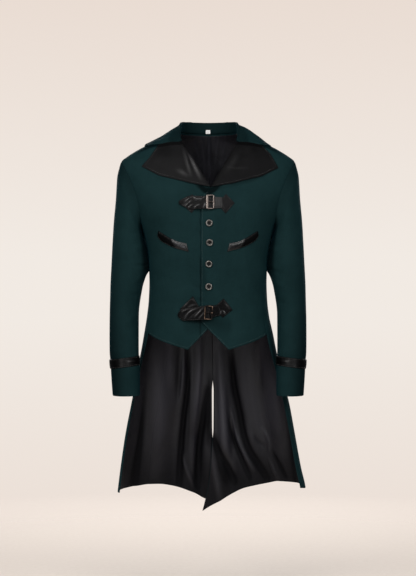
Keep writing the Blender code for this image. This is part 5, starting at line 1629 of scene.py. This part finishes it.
def add_label():
    """Make the small plain label inside the back of the stand."""
    across, height = np.meshgrid(np.linspace(-1, 1, 25) * LABEL_HALF,
                                 LABEL_FOOT + np.linspace(0, 1, 19) * LABEL_LENGTH)
    depth = LABEL_DEPTH - 0.06 * np.abs(across)
    depth = depth - 0.0003 * np.cos(across * 900) * np.cos((height - 0.03) * 500)
    outer, inner = (np.stack([across, y, height], -1) for y in (depth - LABEL_WALL, depth))
    shell("cloth_neck_label", outer, inner, LABEL, ["neck_label"])


# Materials


def started(name, **values):
    """Start a material with its constant values on the shader's own sockets."""
    made = bpy.data.materials.new(name)
    made.use_nodes = True
    shader = made.node_tree.nodes["Principled BSDF"]
    for socket, value in values.items():
        shader.inputs[socket.replace("_", " ")].default_value = value
    return made, made.node_tree, shader


def fed(tree, socket, value):
    """Give a socket a value or a link."""
    if isinstance(value, bpy.types.NodeSocket):
        tree.links.new(value, socket)
    else:
        socket.default_value = value


def node(tree, kind, settings=None, **inputs):
    """Add a node, with its settings and its inputs as values or links."""
    made = tree.nodes.new("ShaderNode" + kind)
    for key, value in (settings or {}).items():
        setattr(made, key, value)
    for key, value in inputs.items():
        fed(tree, made.inputs[key.replace("_", " ")], value)
    return made


def point_value(tree, name):
    """Value that the points of a mesh carry under a name."""
    return node(tree, "Attribute", {"attribute_name": name}).outputs["Fac"]


def finished(made, tree, shader, bumps, **inputs):
    """Feed a shader's sockets and lay its bumps, as heights and distances, over each other."""
    for key, value in inputs.items():
        fed(tree, shader.inputs[key.replace("_", " ")], value)
    bump = None
    for height, distance in bumps:
        above = node(tree, "Bump", Height=height, Distance=distance, Strength=1.0)
        if bump:
            tree.links.new(bump, above.inputs["Normal"])
        bump = above.outputs[0]
    if bump:
        tree.links.new(bump, shader.inputs["Normal"])
    return made


def cloth_place(tree, scale=(1, 1, 1)):
    """Places on the cloth in metres, stretched."""
    uv = node(tree, "UVMap", {"uv_map": "cloth"})
    return node(tree, "Mapping", Vector=uv.outputs[0], Scale=scale).outputs[0]


def bands(tree, direction, scale, **inputs):
    """Fine bands of a weave across the cloth."""
    settings = {"bands_direction": direction}
    return node(tree, "TexWave", settings, Vector=cloth_place(tree), Scale=scale, **inputs).outputs["Fac"]


def noise(tree, scale, detail, rough, place=None):
    """Noise at a scale in cells a metre."""
    place = place or node(tree, "TexCoord").outputs["Object"]
    return node(tree, "TexNoise", Vector=place, Scale=scale, Detail=detail, Roughness=rough).outputs["Fac"]


def ranged(tree, value, low, high, new_low, new_high):
    """Stretch a value to a new range and keep it there."""
    return node(tree, "MapRange", {"clamp": True}, Value=value, From_Min=low, From_Max=high,
                To_Min=new_low, To_Max=new_high).outputs[0]


def maths(tree, operation, first, second):
    """One sum of two values."""
    made = node(tree, "Math", {"operation": operation})
    for socket, value in zip(made.inputs, (first, second)):
        fed(tree, socket, value)
    return made.outputs[0]


def summed(tree, *terms):
    """Add up values, each times its weight."""
    total = None
    for value, weight in terms:
        value = value if weight == 1 else maths(tree, "MULTIPLY", value, weight)
        total = maths(tree, "ADD", total, value) if total else value
    return total


def mixed(tree, factor, first, second):
    """Blend two colours."""
    made = node(tree, "Mix", {"data_type": "RGBA"})
    for index, value in ((0, factor), (6, first), (7, second)):
        fed(tree, made.inputs[index], value)
    return made.outputs[2]


def rim_groove(tree, distance):
    """A thin dip along a line of stitches inside the free edges, and the distance from them."""
    rim = point_value(tree, "rim")
    away = maths(tree, "ABSOLUTE", maths(tree, "SUBTRACT", rim, distance), 0.0)
    return ranged(tree, away, 0.0, 0.0016, 0.0, 1.0), rim


def suiting(name, dark, light):
    """Fine wool suiting: diagonal twill, nap and a soft sheen."""
    made, tree, shader = started(name, Roughness=0.78, Sheen_Weight=0.035, Sheen_Roughness=0.42,
                                 Sheen_Tint=(0.03, 0.42, 0.62, 1), Specular_IOR_Level=0.015)
    broad = noise(tree, 16.0, 5.0, 0.6)
    fine = noise(tree, 620.0, 2.0, 0.6, cloth_place(tree, (1, 0.35, 1)))
    slub = noise(tree, 150.0, 3.0, 0.6, cloth_place(tree, (1, 0.12, 1)))
    twill = bands(tree, "DIAGONAL", 210.0, Distortion=0.9, Detail=2.0, Detail_Scale=3.0)
    tone = summed(tree, (broad, 0.9), (fine, 0.5), (slub, 0.35), (twill, 0.12))
    groove, rim = rim_groove(tree, CLOTH_STITCH)
    worn = ranged(tree, rim, 0.0, 0.0022, 1.0, 0.0)
    # Painted shade: the cloth darkens where its points carry painted shading
    shaded = ranged(tree, point_value(tree, "painted_shading"), 0.0006, 0.0036, 0.0, 0.85)
    colour = mixed(tree, ranged(tree, tone, 0.62, 1.25, 0.0, 1.0), dark, light)
    colour = mixed(tree, maths(tree, "MULTIPLY", worn, 0.1), colour, tuple(c * 1.9 for c in light[:3]) + (1,))
    colour = mixed(tree, shaded, colour, (0.0004, 0.0010, 0.0012, 1))
    bumps = ((twill, 0.00010), (fine, 0.00012), (noise(tree, 48.0, 4.0, 0.62), 0.0011), (groove, 0.00035))
    return finished(made, tree, shader, bumps, Base_Color=colour,
                    Roughness=ranged(tree, slub, 0.3, 0.7, 0.70, 0.86))


def satin(name):
    """Black lining satin: fine ribs across, a soft shine and small creases."""
    made, tree, shader = started(name, Roughness=0.44, Specular_IOR_Level=0.26, Sheen_Weight=0.02,
                                 Sheen_Roughness=0.35, Anisotropic=0.35)
    rib = bands(tree, "Y", 420.0, Distortion=0.5, Detail=1.0)
    broad = noise(tree, 14.0, 4.0, 0.55)
    fibre = noise(tree, 500.0, 2.0, 0.5, cloth_place(tree, (0.15, 1, 1)))
    tone = ranged(tree, summed(tree, (broad, 1), (fibre, 0.35)), 0.45, 0.95, 0.0, 1.0)
    painted_shading = point_value(tree, "painted_shading")
    # Painted shade in the folds and along the free edges, which also takes the shine off
    deep = maths(tree, "MAXIMUM", ranged(tree, painted_shading, 0.0005, 0.0055, 0.0, 0.85),
                 ranged(tree, point_value(tree, "rim"), 0.001, 0.0075, 0.8, 0.0))
    colour = mixed(tree, tone, (0.0036, 0.0036, 0.0054, 1), (0.0066, 0.0065, 0.0098, 1))
    colour = mixed(tree, deep, colour, (0.0012, 0.0012, 0.0016, 1))
    # Cloth turned to the light, in two steps
    for low, high, lit in ((-0.0036, -0.0003, (0.0145, 0.0143, 0.0190, 1)),
                           (-0.0074, -0.0036, (0.0240, 0.0236, 0.0300, 1))):
        colour = mixed(tree, ranged(tree, painted_shading, low, high, 0.8, 0.0), colour, lit)
    wrinkles = noise(tree, 26.0, 3.0, 0.5, cloth_place(tree, (1, 0.4, 1)))
    return finished(made, tree, shader, ((rib, 0.00006), (wrinkles, 0.0012)), Base_Color=colour,
                    Specular_IOR_Level=ranged(tree, deep, 0.0, 0.85, 0.26, 0.06),
                    Roughness=summed(tree, (ranged(tree, fibre, 0.3, 0.7, 0.40, 0.48), 1), (deep, 0.2)))


def leather(name, dark, light, rough, crinkle, specular):
    """Faux leather: pebbled grain, fine creases and worn edges, with painted shade and painted highlights."""
    made, tree, shader = started(name, Roughness=rough, Specular_IOR_Level=specular)
    place = node(tree, "TexCoord").outputs["Object"]
    grain, fold = (
        node(tree, "TexVoronoi", {"feature": feature}, Vector=place, Scale=scale).outputs["Distance"]
        for feature, scale in (("F1", 900.0), ("DISTANCE_TO_EDGE", 170.0))
    )
    broad = noise(tree, 30.0, 5.0, 0.6)
    groove, rim = rim_groove(tree, LEATHER_GROOVE)
    worn = ranged(tree, rim, 0.0, 0.0016, 1.0, 0.0)
    # Painted shade in the creases; points marked dull turn darker and matte, so unmarked folds keep a painted
    # highlight
    deep = ranged(tree, point_value(tree, "painted_shading"), 0.0001, 0.0009, 0.0, 0.8)
    flat = maths(tree, "MAXIMUM", point_value(tree, "mark"), deep)
    colour = mixed(tree, ranged(tree, broad, 0.35, 0.68, 0.0, 1.0), dark, light)
    wear_and_painted_highlight = tuple(c * 2.2 for c in light[:3]) + (1,)
    colour = mixed(tree, maths(tree, "MULTIPLY", worn, 0.25), colour, wear_and_painted_highlight)
    colour = mixed(tree, maths(tree, "MULTIPLY", flat, 0.8), colour, (0.0006, 0.0006, 0.0007, 1))
    colour = mixed(tree, deep, colour, (0.0003, 0.0003, 0.0004, 1))
    roughness = summed(tree, (ranged(tree, broad, 0.3, 0.7, rough - 0.06, rough + 0.08), 1),
                       (ranged(tree, grain, 0.0, 0.6, 0.05, -0.03), 1), (flat, 0.25))
    bumps = ((grain, 0.00010), (ranged(tree, fold, 0.0, 0.12, 0.0, 1.0), 0.00006),
             (noise(tree, 70.0, 3.0, 0.55), crinkle), (groove, 0.0003))
    return finished(made, tree, shader, bumps, Base_Color=colour, Roughness=roughness,
                    Specular_IOR_Level=ranged(tree, flat, 0.0, 1.0, specular, 0.03))


def silver(name, bright, patina, rough):
    """Worn metal: bright, with patina in patches, and darker where its points are marked dark."""
    made, tree, shader = started(name, Metallic=1.0, Roughness=rough)
    patches = ranged(tree, noise(tree, 260.0, 5.0, 0.65), 0.48, 0.66, 0.0, 0.75)
    share = maths(tree, "MAXIMUM", patches, point_value(tree, "mark"))
    bumps = ((noise(tree, 700.0, 3.0, 0.6), 0.00008), (noise(tree, 180.0, 2.0, 0.5), 0.00025))
    return finished(made, tree, shader, bumps, Base_Color=mixed(tree, share, bright, patina),
                    Roughness=ranged(tree, share, 0.0, 1.0, rough, rough + 0.25))


def thread(name, colour, light):
    """Spun sewing thread."""
    made, tree, shader = started(name, Roughness=0.62, Specular_IOR_Level=0.35, Sheen_Weight=0.2)
    spun = noise(tree, 2400.0, 2.0, 0.5)
    return finished(made, tree, shader, ((spun, 0.00006),),
                    Base_Color=mixed(tree, ranged(tree, spun, 0.35, 0.65, 0.0, 1.0), colour, light))


def woven_label(name):
    """White woven label tape."""
    made, tree, shader = started(name, Roughness=0.75, Sheen_Weight=0.2)
    weave = maths(tree, "MULTIPLY", bands(tree, "X", 700.0), bands(tree, "Y", 900.0))
    share = ranged(tree, noise(tree, 300.0, 3.0, 0.5), 0.35, 0.65, 0.0, 1.0)
    return finished(made, tree, shader, ((weave, 0.00008),),
                    Base_Color=mixed(tree, share, (0.42, 0.41, 0.40, 1), (0.54, 0.53, 0.52, 1)))


def floor_material():
    """Pale floor that fades out with distance."""
    made, tree, shader = started("floor_pale", Roughness=0.85, Specular_IOR_Level=0.1)
    away = node(tree, "VectorMath", {"operation": "LENGTH"})
    fed(tree, away.inputs[0], node(tree, "TexCoord").outputs["Object"])
    share = ranged(tree, noise(tree, 60.0, 3.0, 0.5), 0.3, 0.7, 0.0, 1.0)
    return finished(made, tree, shader, (), Alpha=ranged(tree, away.outputs["Value"], 0.7, 2.6, 1.0, 0.0),
                    Base_Color=mixed(tree, share, (0.58, 0.515, 0.46, 1), (0.61, 0.545, 0.49, 1)))


# Floor, light and camera


def add_floor():
    """A wide pale disc below the coat."""
    body = bmesh.new()
    bmesh.ops.create_circle(body, cap_ends=True, segments=96, radius=FLOOR_RADIUS)
    mesh = bpy.data.meshes.new("floor")
    body.to_mesh(mesh)
    body.free()
    mesh.materials.append(floor_material())
    floor = linked("floor", mesh)
    floor.location = (0, 0, FLOOR_HEIGHT)


def add_light(name, place, target, size, energy, colour):
    """One soft square light aimed at a point."""
    lamp = bpy.data.lights.new(name, "AREA")
    lamp.size, lamp.energy, lamp.color = size, energy, colour
    light = linked(name, lamp)
    light.location = place
    light.rotation_euler = (Vector(target) - Vector(place)).to_track_quat("-Z", "Y").to_euler()


def add_world():
    """Pale backdrop for the camera, dim even light for the coat."""
    world = bpy.data.worlds.new("studio")
    bpy.context.scene.world = world
    world.use_nodes = True
    tree = world.node_tree
    height = node(tree, "SeparateXYZ", Vector=node(tree, "TexCoord").outputs["Generated"]).outputs["Z"]
    share = ranged(tree, maths(tree, "ABSOLUTE", height, 0.0), 0.02, 0.19, 0.0, 1.0)
    pale = mixed(tree, share, (0.882, 0.823, 0.768, 1), (0.812, 0.708, 0.640, 1))
    camera = node(tree, "LightPath").outputs["Is Camera Ray"]
    fed(tree, tree.nodes["Background"].inputs["Color"], mixed(tree, camera, (0.20, 0.20, 0.205, 1), pale))


def add_camera():
    """Level camera in front of the coat, framed as in the photo."""
    lens = bpy.data.cameras.new("camera")
    lens.sensor_width = 24
    lens.lens = lens.sensor_width * CAMERA_DISTANCE / (PHOTO_SIZE[1] * METRES_A_PIXEL)
    camera = linked("camera", lens)
    camera.location = (0, -CAMERA_DISTANCE, CAMERA_HEIGHT)
    camera.rotation_euler = (math.pi / 2, 0, 0)
    bpy.context.scene.camera = camera


SUITING = suiting("suiting_teal", (0.0037, 0.0116, 0.0124, 1), (0.0062, 0.0182, 0.0194, 1))
SATIN = satin("satin_black")
LAPEL_LEATHER = leather("leather_matte", (0.0100, 0.0100, 0.0106, 1), (0.0175, 0.0172, 0.0182, 1),
                        0.36, 0.0004, 0.22)
STRAP_LEATHER = leather("leather_glossy", (0.0016, 0.0016, 0.0018, 1), (0.0032, 0.0032, 0.0034, 1),
                        0.24, 0.0003, 0.32)
DULL_LEATHER = leather("leather_dull", (0.0030, 0.0030, 0.0033, 1), (0.0058, 0.0058, 0.0063, 1),
                       0.44, 0.0004, 0.09)
WORN_LEATHER = leather("leather_worn", (0.010, 0.010, 0.0105, 1), (0.022, 0.022, 0.0225, 1),
                       0.40, 0.0004, 0.20)
SILVER = silver("silver_antique", (0.17, 0.142, 0.128, 1), (0.04, 0.032, 0.028, 1), 0.34)
BRONZE = silver("bronze_worn", (0.125, 0.082, 0.058, 1), (0.010, 0.009, 0.009, 1), 0.34)
# How dark a buckle of each metal is on its right and on top
DARKER_RIGHT_AND_TOP = {SILVER.name: 0.0, BRONZE.name: 0.95}
BUTTON_SILVER = silver("silver_button", (0.165, 0.157, 0.145, 1), (0.010, 0.010, 0.010, 1), 0.32)
THREAD = thread("thread_teal", (0.0080, 0.0210, 0.0220, 1), (0.0200, 0.0440, 0.0460, 1))
LEATHER_THREAD = thread("thread_black", (0.0090, 0.0090, 0.0095, 1), (0.0220, 0.0220, 0.0230, 1))
LABEL = woven_label("label_white")

for which in (-1, 1):
    add_front(which)
    add_side_and_back(which)
FRONTS = front_tree()
add_collar()
add_label()
for which in (-1, 1):
    flip = np.array([which, 1, 1])
    add_sleeve(which, flip)
    add_cuff(which, flip)
    add_cuff_band(which, flip)
    add_lapel(which)
    add_welt(which)
for fastening in ("chest", "waist"):
    add_fastening(fastening)
for count, (place, level) in enumerate(BUTTONS, 1):
    add_button(count, place, level)
add_floor()
add_world()
for light_values in LIGHTS:
    add_light(*light_values)
add_camera()
bpy.context.scene.view_settings.view_transform = "Standard"
